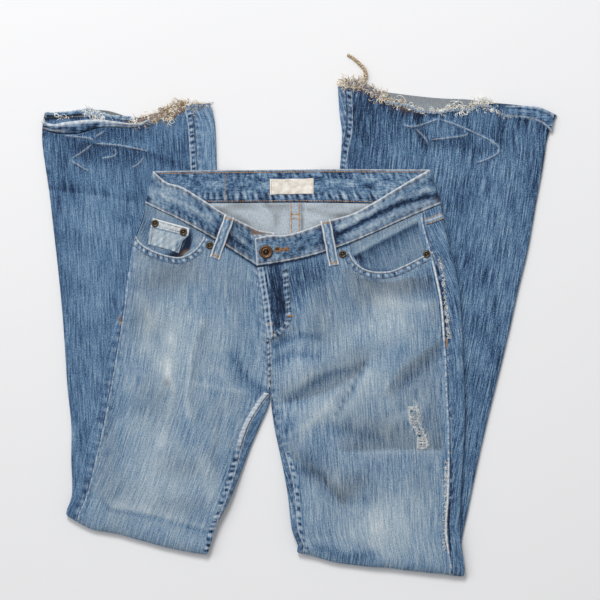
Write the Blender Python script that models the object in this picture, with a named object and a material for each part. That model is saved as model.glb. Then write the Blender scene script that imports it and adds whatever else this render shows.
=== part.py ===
"""Bootcut jeans that lie face up on a flat surface, with both legs folded under at the knee.

Tables and sizes are in millimetres, and the finished meshes in metres. The jeans rest on Z = 0.
+X is to the right seen from above, and +Y points from the knee folds to the waist and the hems.
Right and left are the wearer's, so the right leg lies at -X.

Each leg is a flattened tube of denim. It runs down from the waist, turns under at the knee and
runs back up to the hem, so the stack from the surface up is: front of the calf, back of the calf,
back of the thigh, front of the thigh. Seams part the tube into its front and back panels.
"""

from collections import namedtuple

import bpy
import numpy as np

MM = 0.001

# Cloth and layers
DENIM = 1.3  # wall of one layer of denim
SEAM_GAP = 0.3  # between two pieces that are sewn together
CALF_SEAM_GAP = 0.7  # at the inseam of the calf, where it winds round the border
CALF_HEIGHT = 5.4  # both layers of a calf, outer face to outer face
THIGH_HEIGHT = 5.8  # both layers of a thigh or of the hips
LAYER_GAP = 0.8  # between the calf and what lies on it
EDGE_RADIUS = 3.2  # how far in from its border a tube is rounded
EDGE_ARC = 3.2  # length along the cloth that this quarter round takes
FOLD_REACH = 7.0  # how far the knee fold swings out past the fold line
SAG_START, SAG_END = 10.0, 46.0  # off a calf's inner border, where the cloth above sinks to the table
RIGHT_CALF_INNER = -105.0  # X of the right calf's inner border
LEFT_CALF_INNER = (-2.0, -288.0)  # where the left calf's inner border leaves the knee fold
LEFT_CALF_LEAN = 0.1144  # how far it runs along X for each millimetre of Y

# Trousers' waistband and small pieces
BAND_THICK = 2.4
BAND_PROUD = 0.8  # how far the band stands above the panels
FACING_THICK, COIN_THICK = 1.0, 1.0
FACING_DEPTH = 1.7  # the pocket facing lies this far under the front panel's face
FACING_START = 0.25  # and at the waist seam by this share of it
FACING_SINK_BELOW, FACING_SINK_BESIDE = 14.0, 12.0  # lengths over which it sinks
FACING_FOOT = 0.35  # its foot lies this share of the way from the pocket's row to the next
LOOP_THICK, LOOP_WIDTH = 1.6, 13.0
LOOP_ARCH, LOOP_CLEAR, LOOP_ROUND = 1.0, 0.1, 0.5  # off the band, over it, and off its edges
LABEL_THICK = 0.7
FACING_PAST = 9.0  # it reaches this far past the opening's edge
FLY_RAISE = 0.8  # the doubled cloth of the fly overlap
BUTTON_RADIUS, RIVET_RADIUS = 8.5, 4.7
RIVET_LIFT = 0.6  # a rivet's flat foot clears the slope of the cloth under it

TURN = {"right": 1.0, "left": -1.0}  # the way from a row's direction round to the knee's direction

# Centre front and centre back, one row for each of the first seven thigh rows
Centre = namedtuple("Centre", "row front back")
CENTRE = [
    Centre("waist", (-53.5, 61), (-3, 141)),
    Centre("yoke", (-51, 46), (-5, 88)),
    Centre("pocket", (-47, 20), (-9, 49)),
    Centre("hip", (-43.5, -6), (-13, 14)),
    Centre("low hip", (-40.5, -35), (-20, -24)),
    Centre("seat", (-38.3, -63), (-29, -57)),
    Centre("crotch", (-37, -89), (-37, -89)),
]

# side: the outer border's place. inner: the inner border's place below the crotch.
# side_seam and inseam: how far each seam lies in from its border on the front face; less than 0
# is round on the back face. closed: 1 where the tube's inner side is closed, 0 above the crotch.
Row = namedtuple("Row", "name side inner side_seam inseam closed")
THIGH = {
    "right": [
        Row("waist", (-193, 139), None, -4, 0, 0),
        Row("yoke", (-197, 120), None, -4, 0, 0),
        Row("pocket", (-206, 96), None, -3, 0, 0),
        Row("hip", (-212, 61), None, -1, 0, 0),
        Row("low hip", (-219, 22), None, 1, 0, 0),
        Row("seat", (-230, -10), None, 7, 0, 0),
        Row("crotch", (-240, -40), None, 12, 0, 0),
        Row("thigh top", (-246, -74), (-38.5, -112), 12, 12, 1),
        Row("thigh", (-252, -107), (-49, -137), 12, 15, 1),
        Row("mid thigh", (-259, -138), (-61, -165), 13, 12, 1),
        Row("low thigh", (-268, -172), (-74, -199), 14, 8, 1),
        Row("above knee", (-276, -202), (-87, -231), 15, 5, 1),
        Row("knee", (-283, -226), (-103, -262), 15, 1, 1),
        Row("fold", (-290, -241), (-113, -291), 15, -2, 1),
    ],
    "left": [
        Row("waist", (177, 138), None, 25, 0, 0),
        Row("yoke", (180, 119), None, 25, 0, 0),
        Row("pocket", (187, 90), None, 24, 0, 0),
        Row("hip", (195, 58), None, 24, 0, 0),
        Row("low hip", (201, 22), None, 23, 0, 0),
        Row("seat", (203.5, -18), None, 22, 0, 0),
        Row("crotch", (205, -55), None, 21, 0, 0),
        Row("thigh top", (206, -88), (-35, -116), 21, 4, 1),
        Row("thigh", (207, -122), (-31, -143), 20, 5, 1),
        Row("mid thigh", (206, -157), (-25, -171), 18, 6, 1),
        Row("low thigh", (204, -192), (-19, -200), 16, 8, 1),
        Row("above knee", (202, -228), (-14, -230), 15, 8, 1),
        Row("knee", (201, -272), (-10, -266), 16, 7, 1),
        Row("fold", (207, -318), (-2, -288), 16, 7, 1),
    ],
}
CALF = {
    "right": [
        Row("fold", (-290, -241), (-113, -291), 15, -2, 1),
        Row("knee", (-285, -222), (-109, -262), 15, -4, 1),
        Row("below knee", (-286, -181), (-108, -206), 14, -6, 1),
        Row("high calf", (-286, -138), (-107, -156), 12, -8, 1),
        Row("calf", (-291, -88), (-106, -100), 10, -10, 1),
        Row("mid calf", (-294, -40), (-104, -46), 9, -13, 1),
        Row("low calf", (-298, 12), (-103, 10), 8, -15, 1),
        Row("shin", (-303, 62), (-102, 64), 7, -18, 1),
        Row("low shin", (-308, 106), (-102, 112), 6, -20, 1),
        Row("ankle", (-313, 150), (-103, 157), 5, -22, 1),
        Row("flare", (-318, 184), (-104, 194), 4, -24, 1),
        Row("low flare", (-322, 214), (-105, 225), 4, -25, 1),
        Row("hem top", (-322, 236), (-107, 247), 4, -25, 1),
        Row("hem", (-319, 252), (-112, 266), 4, -24, 1),
    ],
    "left": [
        Row("fold", (207, -318), (-2, -288), 16, 7, 1),
        Row("knee", (203, -287), (-1, -262), 16, 7, 1),
        Row("below knee", (212, -240), (2, -214), 16, 7, 1),
        Row("high calf", (224, -182), (8, -156), 15, 7, 1),
        Row("calf", (237, -125), (15, -98), 14, 7, 1),
        Row("mid calf", (251, -69), (22, -41), 13, 6, 1),
        Row("low calf", (263, -19), (29, 10), 12, 6, 1),
        Row("shin", (274, 31), (36, 61), 11, 4, 1),
        Row("low shin", (286, 81), (42, 111), 10, 2.5, 1),
        Row("ankle", (296, 138), (49, 164), 9, 1, 1),
        Row("flare", (303, 175), (52, 203), 8, -1, 1),
        Row("low flare", (307, 200), (53, 229), 7, -5, 1),
        Row("hem top", (311, 224), (50, 254), 6, -9, 1),
        Row("hem", (322, 251), (48, 286), 5, -9, 1),
    ],
}
CROTCH_ROW = 6  # the last thigh row whose tube is open at the centre
# Rows of the mesh, as places between the table's rows
THIGH_STATIONS = (0, 0.5, 1, 1.5, 2, 2.5, 3, 4, 5, 6, 6.5, 7, 8, 9, 10, 11, 12, 13)
FOLD_STEPS = 6
CALF_STATIONS = (0, 1, 3, 5, 7, 9, 10, 10.5, 11, 12, 12.5, 13)
YOKE_ROW, POCKET_ROW, HIP_ROW = 1, 2, 3
FOLD_ROW = len(THIGH["right"]) - 1  # the thigh's last row; the calf's rows follow it
FIRST_CALF_ROW = FOLD_ROW + 1
LAST_ROW = FIRST_CALF_ROW + len(CALF["right"]) - 1

# How far the hems lie past (+) or short of (-) the hem row, across the leg from its side border
Edge = namedtuple("Edge", "across back front")
HEM_EDGE = {
    "right": [
        Edge(0, -5, 1), Edge(0.19, -7, 1), Edge(0.37, -10, -1), Edge(0.55, -17, -14),
        Edge(0.64, -17, -16), Edge(0.76, -9, -8), Edge(0.85, -3, -3), Edge(1, -1, 0),
    ],
    "left": [
        Edge(0, -1, 0), Edge(0.08, 5, 5), Edge(0.17, 5, 6), Edge(0.3, 3, 5), Edge(0.4, -8, 5),
        Edge(0.53, -16, 2), Edge(0.64, -20, 1), Edge(0.72, -14, 1), Edge(0.81, -6, 1),
        Edge(0.9, 1, 2), Edge(1, 0, 0),
    ],
}
HEM_FADE = 45.0  # the hem's unevenness dies out this far above it
HEM_ROWS = LAST_ROW - 3  # the first row that it can reach

# How far the knee fold bulges past its straight line, across the leg from its side border
Bulge = namedtuple("Bulge", "across out")
FOLD_BULGE = {
    "right": [
        Bulge(0, 0), Bulge(0.1, 5), Bulge(0.2, 8.5), Bulge(0.3, 6), Bulge(0.45, 5),
        Bulge(0.6, 5), Bulge(0.75, 4.5), Bulge(0.9, 2), Bulge(1, 0),
    ],
    "left": [
        Bulge(0, 0), Bulge(0.15, 0.5), Bulge(0.3, 2), Bulge(0.45, 2.5), Bulge(0.62, 5),
        Bulge(0.75, 5), Bulge(0.85, 3), Bulge(0.93, 0.5), Bulge(1, 0),
    ],
}

# The waist seam bows to the knee by this much; skew moves the deepest place to the centre front
WAIST_BOW = {"right": (-3.5, 1.0), "left": (10.5, 1.4)}
# The pocket opening's inner edge, in from the side border at the thigh rows from 0 by halves
POCKET_EDGE = {"right": (86, 81, 76, 69, 62), "left": (124, 123.5, 122, 118, 110)}
POCKET_BOW = {"right": 3.5, "left": 12.0}  # how far the opening dips below its row
POCKET_LINE_SHARE = 0.42  # where the same column of the mesh runs down the thigh, across the front

# Soft folds in the top cloth: a line from (x0, y0) to (x1, y1), its height, and its half width
Crease = namedtuple("Crease", "x0 y0 x1 y1 height width")
FRONT_CREASES = [
    Crease(-250, -228, -118, -270, -1.5, 12),
    Crease(-225, -200, -130, -232, 1.4, 15),
    Crease(-15, -104, 70, -66, -1.6, 13),
    Crease(0, -76, 75, -36, 1.8, 15),
    Crease(48, -146, 112, -158, -1.4, 13),
    Crease(40, -122, 118, -136, 1.4, 14),
    Crease(2, -196, 60, -230, -1.3, 12),
    Crease(30, -180, 90, -205, 1.2, 15),
    Crease(122, -92, 184, -36, -1.4, 13),
    Crease(106, -116, 172, -70, 1.3, 16),
    Crease(-185, -40, -170, -170, 1.6, 20),
    Crease(-222, -60, -240, -170, -1.0, 14),
    Crease(-140, -20, -150, -150, -1.2, 18),
    Crease(-115, 20, -62, -70, 1.6, 16),
    Crease(15, 30, 8, -50, 1.2, 16),
    Crease(70, 10, 90, -70, -1.0, 16),
    Crease(125, 35, 130, -60, 1.5, 18),
    Crease(150, -170, 165, -290, 1.2, 18),
    Crease(70, -240, 100, -300, 1.0, 16),
]
CALF_CREASES = [
    Crease(-265, 215, -190, 203, 1.0, 12),
    Crease(-290, 190, -230, 178, -0.8, 14),
    Crease(-278, 130, -282, -60, 1.1, 14),
    Crease(-306, 90, -300, -90, -0.6, 10),
    Crease(140, 236, 250, 205, 1.0, 13),
    Crease(150, 215, 215, 185, -0.8, 14),
    Crease(255, 160, 226, 0, 1.1, 16),
    Crease(75, 245, 66, 195, 1.0, 14),
]

UNDERLAP_END = 1.14  # the right front band's end, in shares of its seam
UNDERLAP_DROP = 2.7  # how far the right end sinks to pass under the left end
UNDERLAP_ZONE = (-84.0, -62.0)  # where along X it sinks
# Waistband: the top edge's place against the way along the waist seam from the side border
BandEdge = namedtuple("BandEdge", "along x y")
BAND_TOP = {
    "right": [
        BandEdge(0, -183, 180), BandEdge(0.14, -166, 166), BandEdge(0.28, -147, 160),
        BandEdge(0.45, -122, 145), BandEdge(0.62, -98, 129), BandEdge(0.76, -80, 120),
        BandEdge(0.9, -61, 111), BandEdge(1, -50, 106), BandEdge(UNDERLAP_END, -31, 103),
    ],
    "left": [
        BandEdge(0, 163, 182), BandEdge(0.1, 141, 170), BandEdge(0.2, 116, 155),
        BandEdge(0.3, 93, 141), BandEdge(0.42, 67, 127), BandEdge(0.55, 37, 118),
        BandEdge(0.68, 8, 107), BandEdge(0.8, -18, 100), BandEdge(0.9, -36, 100),
        BandEdge(1, -56, 96),
    ],
}
BACK_BAND_COLUMNS = np.concatenate(
    [[0, 0.003, 0.01, 0.03], np.linspace(0.08, 0.92, 20), [0.97, 0.99, 0.997, 1]]
)
BACK_BAND_TOP = [BandEdge(0, -183, 180), BandEdge(0.3, -78, 181.5), BandEdge(0.6, 26, 182.5),
                 BandEdge(1, 163, 182)]
BAND_END_ROUND = 5.0  # length over which the band's side ends round off
BAND_END_HALF = 1.1  # half the band's height right at a side end

Loop = namedtuple("Loop", "node top foot over")  # over: how much of its length lies on the band
BELT_LOOPS = [
    Loop("belt_loop_right", (-87, 123.5), (-106, 71), 0.74),
    Loop("belt_loop_left", (32.5, 118.5), (43, 62), 0.72),
]
LABEL_CORNERS = ((-37, 170), (17.5, 171), (17.5, 152), (-37, 151))
COIN_POCKET_CORNERS = ((-183, 121), (-140, 105), (-143, 77), (-189, 88))
BUTTON_AT = (-42, 79)
Rivet = namedtuple("Rivet", "node x y on")
RIVETS = [
    Rivet("rivet_coin_outer", -176, 112, "coin"),
    Rivet("rivet_coin_inner", -145, 101, "coin"),
    Rivet("rivet_right_pocket", -112, 87, "front"),
    Rivet("rivet_left_pocket_inner", 54, 76, "front"),
    Rivet("rivet_left_pocket_outer", 159, 76, "front"),
]
# The fly overlap: a raised strip beside the centre front, round at its foot
FLY_TOP, FLY_FOOT, FLY_WIDTH = 61.0, -31.0, 29.0

# Frayed hems: locks of loose thread along the back panel's edge
FRAY_LOCKS = 36
FRAY_LEAN = 0.3  # sideways reach of a lock for each millimetre outwards
FRAY_STRIP = 2.0  # width of the strip that the locks grow from
FRAY_BOTTOM, FRAY_TOP = 1.9, 3.9
Tuft = namedtuple("Tuft", "across length")  # a lock's length at places across the leg
FRAY = {
    "right": [
        Tuft(0, 2), Tuft(0.1, 3), Tuft(0.2, 5), Tuft(0.3, 6), Tuft(0.42, 2), Tuft(0.55, 3),
        Tuft(0.68, 7), Tuft(0.8, 9), Tuft(0.88, 8), Tuft(0.95, 4), Tuft(1, 2),
    ],
    "left": [
        Tuft(0, 1.5), Tuft(0.14, 2), Tuft(0.2, 6), Tuft(0.28, 8), Tuft(0.36, 6), Tuft(0.5, 6),
        Tuft(0.62, 6), Tuft(0.74, 8), Tuft(0.84, 7), Tuft(0.92, 10), Tuft(0.97, 12), Tuft(1, 10),
    ],
}
TAIL_ACROSS = 0.935  # the long loose thread grows from here on the left hem
TAIL_ROUTE = [  # x, y and z of its middle
    (78, 287, 2.9), (81, 294, 3.4), (83, 301, 3.8), (81, 308, 3.6), (76, 314, 3.0),
    (70, 320, 2.2), (64, 324.5, 1.6), (60, 326, 1.2),
]
TAIL_THICK = 2.6

Finish = namedtuple("Finish", "colour roughness metallic")
FINISHES = {
    "light denim": Finish((0.28, 0.38, 0.52, 1), 0.9, 0),
    "mid denim": Finish((0.14, 0.22, 0.37, 1), 0.9, 0),
    "dark denim": Finish((0.09, 0.15, 0.29, 1), 0.9, 0),
    "inside denim": Finish((0.45, 0.49, 0.55, 1), 0.92, 0),
    "copper": Finish((0.33, 0.14, 0.07, 1), 0.4, 1),
    "aged brass": Finish((0.14, 0.1, 0.06, 1), 0.45, 1),
    "label cotton": Finish((0.75, 0.69, 0.58, 1), 0.85, 0),
    "frayed cotton": Finish((0.58, 0.45, 0.3, 1), 0.95, 0),
}


def clear_scene():
    for found in list(bpy.data.objects):
        bpy.data.objects.remove(found, do_unlink=True)


def material(name):
    """The named finish as a Principled material, made once."""
    found = bpy.data.materials.get(name)
    if found:
        return found
    finish = FINISHES[name]
    made = bpy.data.materials.new(name)
    made.use_nodes = True
    shader = made.node_tree.nodes["Principled BSDF"]
    shader.inputs["Base Color"].default_value = finish.colour
    shader.inputs["Roughness"].default_value = finish.roughness
    shader.inputs["Metallic"].default_value = finish.metallic
    return made


def add_object(name, points, faces, finish):
    """A named object from points in millimetres and closed faces that point outwards."""
    mesh = bpy.data.meshes.new(name)
    mesh.from_pydata((np.asarray(points) * MM).tolist(), [], faces)
    mesh.validate()
    mesh.materials.append(material(finish))
    made = bpy.data.objects.new(name, mesh)
    bpy.context.scene.collection.objects.link(made)
    return made


def smoothstep(low, high, x):
    t = np.clip((x - low) / (high - low), 0, 1)
    return t * t * (3 - 2 * t)


def read_rows(table, at):
    """The table read at places between its rows, on a smooth curve through every row."""
    table = np.asarray(table, float)
    at = np.asarray(at, float)
    slope = np.gradient(table, axis=0)
    row = np.clip(np.floor(at).astype(int), 0, len(table) - 2)
    part = (at - row).reshape(at.shape + (1,) * (table.ndim - 1))
    here, there = table[row], table[row + 1]
    return (
        here * (2 * part**3 - 3 * part**2 + 1)
        + slope[row] * (part**3 - 2 * part**2 + part)
        + there * (3 * part**2 - 2 * part**3)
        + slope[row + 1] * (part**3 - part**2)
    )


def read_edge(table, across, column):
    """One column of a table against its first column, smooth between the rows."""
    first = np.array([row[0] for row in table], float)
    values = np.array([getattr(row, column) for row in table], float)
    place = np.interp(across, first, np.arange(len(first)))
    return read_rows(values, place)


def crease_height(creases, x, y):
    """The sum of the soft folds: each is a bell across its line that fades at both ends."""
    total = np.zeros_like(x)
    for fold in creases:
        along = np.array([fold.x1 - fold.x0, fold.y1 - fold.y0], float)
        length = np.hypot(*along)
        along /= length
        s = (x - fold.x0) * along[0] + (y - fold.y0) * along[1]
        off = (y - fold.y0) * along[0] - (x - fold.x0) * along[1]
        past = np.maximum(0, np.maximum(-s, s - length))
        total += fold.height * np.exp(-((off / fold.width) ** 2) - (past / (2 * fold.width)) ** 2)
    return total


def calf_top(x, y):
    """Height of a calf's upper face."""
    return CALF_HEIGHT + crease_height(CALF_CREASES, x, y)


def off_calf(x, y):
    """How far a place lies off the inner border of the nearer calf, towards the middle."""
    off_right = x - RIGHT_CALF_INNER
    off_left = LEFT_CALF_INNER[0] + LEFT_CALF_LEAN * (y - LEFT_CALF_INNER[1]) - x
    return np.minimum(off_right, off_left)


def bed(x, y):
    """Height of what the hips and thighs lie on: the calves, and between them the table."""
    cover = 1 - smoothstep(SAG_START, SAG_END, off_calf(x, y))
    return (calf_top(x, y) + LAYER_GAP) * cover


def fly_shape(x, y):
    """1 on the fly overlap, whose foot is a quarter round, and 0 off it."""
    edge_x, edge_y = np.array([centre.front for centre in reversed(CENTRE)], float).T
    edge = np.interp(y, edge_y, edge_x)
    beside = x - edge
    foot = np.sqrt(np.maximum(0, 1 - np.clip((FLY_FOOT + FLY_WIDTH - y) / FLY_WIDTH, 0, 1) ** 2))
    reach = FLY_WIDTH * foot
    return smoothstep(0, 3, reach - beside) * smoothstep(-1.5, -0.5, beside) * (y > FLY_FOOT - 3)


def front_top(x, y):
    """Height of the top face of the thighs and hips."""
    raised = crease_height(FRONT_CREASES, x, y) + FLY_RAISE * fly_shape(x, y)
    return bed(x, y) + THIGH_HEIGHT + raised


def solid_between(outer, inner, keep=None):
    """Points and faces of the closed wall between two grids of the same shape.

    keep says which cells of the grid are cloth; the wall is closed round every other cell.
    """
    rows, cols = outer.shape[:2]
    cells = np.ones((rows - 1, cols - 1), bool) if keep is None else keep
    index = np.arange(rows * cols).reshape(rows, cols)
    below = rows * cols
    faces = []
    for r, c in zip(*np.nonzero(cells)):
        ring = [index[r, c], index[r + 1, c], index[r + 1, c + 1], index[r, c + 1]]
        faces.append(ring)
        faces.append([p + below for p in reversed(ring)])
        beside = ((r, c - 1), (r + 1, c), (r, c + 1), (r - 1, c))
        for side, (nr, nc) in enumerate(beside):
            if 0 <= nr < rows - 1 and 0 <= nc < cols - 1 and cells[nr, nc]:
                continue
            a, b = ring[side], ring[(side + 1) % 4]
            faces.append([b, a, a + below, b + below])
    points = np.concatenate([outer.reshape(-1, 3), inner.reshape(-1, 3)])
    used, numbers = np.unique([p for face in faces for p in face], return_inverse=True)
    points = points[used]
    ends = np.cumsum([len(face) for face in faces])[:-1]
    faces = [part.tolist() for part in np.split(numbers, ends)]
    return points, outward(points, faces)


def outward(points, faces):
    """The faces turned so that the solid's volume is more than nothing."""
    volume = 0.0
    for face in faces:
        for k in range(1, len(face) - 1):
            volume += np.dot(points[face[0]], np.cross(points[face[k]], points[face[k + 1]]))
    return faces if volume > 0 else [face[::-1] for face in faces]


def leg_rows(side):
    """Every mesh row of a leg, as arrays: borders, seams, the turn at the knee and the hem."""
    thigh, calf = THIGH[side], CALF[side]
    turn = np.arange(1, FOLD_STEPS) * np.pi / FOLD_STEPS
    under = np.array(CALF_STATIONS)

    def joined(top, below):
        arc = (turn / np.pi)[:, None]
        return np.concatenate([top, top[-1] * (1 - arc) + below[0] * arc, below])

    def inner_line(centre):
        """The open centre line down to the crotch, and the closed inner border below it."""
        closed = [CENTRE[-1].front] + [row.inner for row in thigh[CROTCH_ROW + 1:]]
        above = np.array([at for at in THIGH_STATIONS if at <= CROTCH_ROW])
        after = np.array([at for at in THIGH_STATIONS if at > CROTCH_ROW])
        top = np.concatenate([read_rows(centre, above), read_rows(closed, after - CROTCH_ROW)])
        return joined(top, read_rows([row.inner for row in calf], under))

    seams = joined(
        read_rows([(row.side_seam, row.inseam, row.closed) for row in thigh], THIGH_STATIONS),
        read_rows([(row.side_seam, row.inseam, row.closed) for row in calf], under),
    )
    border = joined(
        read_rows([row.side for row in thigh], THIGH_STATIONS),
        read_rows([row.side for row in calf], under),
    )
    zeros, half = np.zeros(len(THIGH_STATIONS)), np.full(len(CALF_STATIONS), np.pi)
    places = np.concatenate([THIGH_STATIONS, FOLD_ROW + turn / np.pi, FIRST_CALF_ROW + under])
    below_crotch = places > CROTCH_ROW
    start = np.array(thigh[-1].side, float)
    line = np.array(thigh[-1].inner, float) - start
    line /= np.hypot(*line)
    return {
        "name": side,
        "place": places,
        "side": border,
        "front": inner_line([centre.front for centre in CENTRE]),
        "back": inner_line([centre.back for centre in CENTRE]),
        "side_seam": seams[:, 0],
        "inseam": np.where(below_crotch, seams[:, 1], 0),
        "closed": np.clip(np.where(below_crotch, seams[:, 2], 0), 0, 1),
        "turn": np.concatenate([zeros, turn, half]),
        "fold_out": TURN[side] * np.array([line[1], -line[0]]),
    }


def ring_lengths(leg):
    """Length of the cloth round each row: over the front, and over front and back."""
    over_front = np.hypot(*(leg["front"] - leg["side"]).T) - 2 * EDGE_RADIUS + 2 * EDGE_ARC
    over_back = np.hypot(*(leg["back"] - leg["side"]).T) - 2 * EDGE_RADIUS + 2 * EDGE_ARC
    return over_front, over_front + over_back


def dip(leg, place, across):
    """How far a front row bows to the knee: the waist seam's bow and the pocket opening's."""
    bow, skew = WAIST_BOW[leg["name"]]
    above_hip = 1 - smoothstep(0, HIP_ROW, place)
    waist = bow * np.sin(np.pi * np.clip(across, 0, 1) ** skew) * above_hip
    width = np.hypot(*(leg["front"] - leg["side"]).T)[:, None]
    rim = POCKET_EDGE[leg["name"]][-1] / width
    near_row = np.clip(1 - np.abs(place - POCKET_ROW) / 1.5, 0, 1)
    seam = leg["side_seam"][:, None].clip(0) / width
    share = np.clip((across - seam) / (rim - seam), 0, 1)
    return waist + POCKET_BOW[leg["name"]] * np.sin(np.pi * share) * near_row


def ring_points(leg, along, depth):
    """Places on a leg's flattened ring.

    along is the length of cloth from the side border, over the front to the inner border and back
    round under. depth is how far under the outer face the point lies. A row's border is a quarter
    ellipse above and one below; between them the faces are flat at half the tube's height above
    and below its middle. At the knee the row's upward direction turns over by half a circle.
    """
    over_front, around = (length[:, None] for length in ring_lengths(leg))
    along = np.mod(along, around)
    on_front = along <= over_front
    length = np.where(on_front, over_front, around - over_front)
    run = np.where(on_front, along, around - along)
    near = np.clip(run / EDGE_ARC, 0, 1) * np.pi / 2
    far = np.clip((length - run) / EDGE_ARC, 0, 1) * np.pi / 2
    closed = leg["closed"][:, None]
    flat = np.clip(run - EDGE_ARC, 0, length - 2 * EDGE_ARC)
    inner_end = closed * np.cos(far) + (1 - closed) * (1 - far * 2 / np.pi)
    reach = EDGE_RADIUS * (1 - np.cos(near)) + flat + EDGE_RADIUS * inner_end
    reach = reach + depth * (np.cos(near) - closed * np.cos(far))
    rise = np.sin(near) * (1 - closed * (1 - np.sin(far)))

    side = leg["side"][:, None, :]
    target = np.where(on_front[..., None], leg["front"][:, None, :], leg["back"][:, None, :])
    width = np.linalg.norm(target - side, axis=2)
    way = (target - side) / width[..., None]
    flat_xy = side + way * reach[..., None]
    across = reach / width
    knee_way = TURN[leg["name"]] * np.stack([way[..., 1], -way[..., 0]], axis=2)
    place = leg["place"][:, None]
    flat_xy = flat_xy + knee_way * (dip(leg, place, across) * on_front)[..., None]
    hem = np.hypot(*(leg["side"] - leg["side"][-1]).T)[:, None]
    near_hem = (place >= HEM_ROWS) * (1 - smoothstep(0, HEM_FADE, hem))
    edge = np.where(
        on_front,
        read_edge(HEM_EDGE[leg["name"]], across, "front"),
        read_edge(HEM_EDGE[leg["name"]], across, "back"),
    )
    flat_xy = flat_xy - knee_way * (edge * near_hem)[..., None]

    x, y = flat_xy[..., 0], flat_xy[..., 1]
    turn = leg["turn"][:, None]
    turned = (1 - np.cos(turn)) / 2
    high = bed(x, y) + THIGH_HEIGHT / 2
    low = calf_top(x, y) / 2
    half = (THIGH_HEIGHT * (1 - turned) + calf_top(x, y) * turned) / 2
    face = np.where(on_front, 1, -1) * rise
    off = face * (half - depth)
    out = np.sin(turn) * (off + FOLD_REACH + read_edge(FOLD_BULGE[leg["name"]], across, "out"))
    z = (high + low) / 2 + np.cos(turn) * ((high - low) / 2 + off)
    raised = front_top(x, y) - bed(x, y) - THIGH_HEIGHT
    z = z + np.clip(np.cos(turn), 0, 1) * np.clip(face, 0, 1) * raised
    xy = flat_xy + leg["fold_out"] * out[..., None]
    return np.concatenate([xy, z[..., None]], axis=2)


def columns(knots, counts, least=0.6):
    """Places along each row: the knots in order, with even steps between them."""
    knots = np.stack(np.broadcast_arrays(*knots), axis=1).astype(float)
    for k in range(1, knots.shape[1] - 1):
        knots[:, k] = np.maximum(knots[:, k], knots[:, k - 1] + least * counts[k - 1])
    for k in range(knots.shape[1] - 2, 0, -1):
        knots[:, k] = np.minimum(knots[:, k], knots[:, k + 1] - least * counts[k])
    steps = [
        knots[:, [k]] + (knots[:, [k + 1]] - knots[:, [k]]) * np.arange(n) / n
        for k, n in enumerate(counts)
    ]
    return np.concatenate(steps + [knots[:, [-1]]], axis=1)


def pocket_edge(leg, over_front):
    """Where the pocket opening's inner edge crosses each row; below it, a steady share."""
    edge = POCKET_EDGE[leg["name"]]
    beside = np.interp(leg["place"], np.arange(len(edge)) / 2, edge)
    share = smoothstep(POCKET_ROW, CROTCH_ROW, leg["place"])
    return beside * (1 - share) + POCKET_LINE_SHARE * over_front * share


def inseam_gap(leg):
    return np.where(leg["place"] >= FIRST_CALF_ROW, CALF_SEAM_GAP, SEAM_GAP)


FRONT_COUNTS = (1, 2, 4, 7, 2, 1, 1)
POCKET_COLUMN = sum(FRONT_COUNTS[:3])


def front_panel(side):
    """A front panel from the waist seam to the hem, cut away above the pocket opening."""
    leg = leg_rows(side)
    over_front, _ = ring_lengths(leg)
    first = leg["side_seam"] + SEAM_GAP / 2
    last = over_front - leg["inseam"] - inseam_gap(leg) / 2
    knots = (first, 0 * first, EDGE_ARC + 0 * first, pocket_edge(leg, over_front),
             over_front - EDGE_ARC, over_front, over_front + EDGE_ARC, last)
    along = columns(knots, FRONT_COUNTS)
    outer, inner = ring_points(leg, along, 0), ring_points(leg, along, DENIM)
    keep = np.ones((along.shape[0] - 1, along.shape[1] - 1), bool)
    above_pocket = leg["place"][1:] <= POCKET_ROW
    keep[above_pocket, :POCKET_COLUMN] = False
    add_object(f"front_{side}", *solid_between(outer, inner, keep), "light denim")


def back_rows(side, first_row, last_row):
    """The back's rows between two places, and the length of cloth along each of its columns."""
    leg = leg_rows(side)
    over_front, around = ring_lengths(leg)
    first = over_front - leg["inseam"] + inseam_gap(leg) / 2
    last = around + leg["side_seam"] - SEAM_GAP / 2
    knots = (first, over_front - EDGE_ARC, over_front, over_front + EDGE_ARC,
             around - EDGE_ARC, around, around + EDGE_ARC, last)
    along = columns(knots, (1, 2, 2, 8, 2, 2, 1))
    rows = (leg["place"] >= first_row) & (leg["place"] <= last_row)
    return leg, along, rows


def shifted_row(points, row, towards, by):
    """The points with one row moved a little towards the next, which opens a seam's gap."""
    way = points[towards] - points[row]
    points[row] += way / np.linalg.norm(way, axis=-1, keepdims=True) * by


def back_pieces(side):
    """The back yoke and the back panel below it, parted by the yoke seam."""
    for name, first_row, last_row, finish in (
        (f"yoke_{side}", 0, YOKE_ROW, "inside denim"),
        (f"back_{side}", YOKE_ROW, LAST_ROW, "mid denim"),
    ):
        leg, along, rows = back_rows(side, first_row, last_row)
        outer, inner = ring_points(leg, along, 0)[rows], ring_points(leg, along, DENIM)[rows]
        for grid in (outer, inner):
            shifted_row(grid, 0, 1, SEAM_GAP / 2)
            if name.startswith("yoke"):
                shifted_row(grid, -1, -2, SEAM_GAP / 2)
        add_object(name, *solid_between(outer, inner), finish)


def waist_point(side, along):
    """A place on the waist seam, in plan, at a share of the way in from the side border."""
    start = np.array(THIGH[side][0].side, float)
    end = np.array(CENTRE[0].front, float)
    way = end - start
    down = TURN[side] * np.array([way[1], -way[0]]) / np.hypot(*way)
    bow, skew = WAIST_BOW[side]
    sag = bow * np.sin(np.pi * np.clip(along, 0, 1) ** skew)
    return start + way * along[:, None] + down * sag[:, None]


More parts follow.
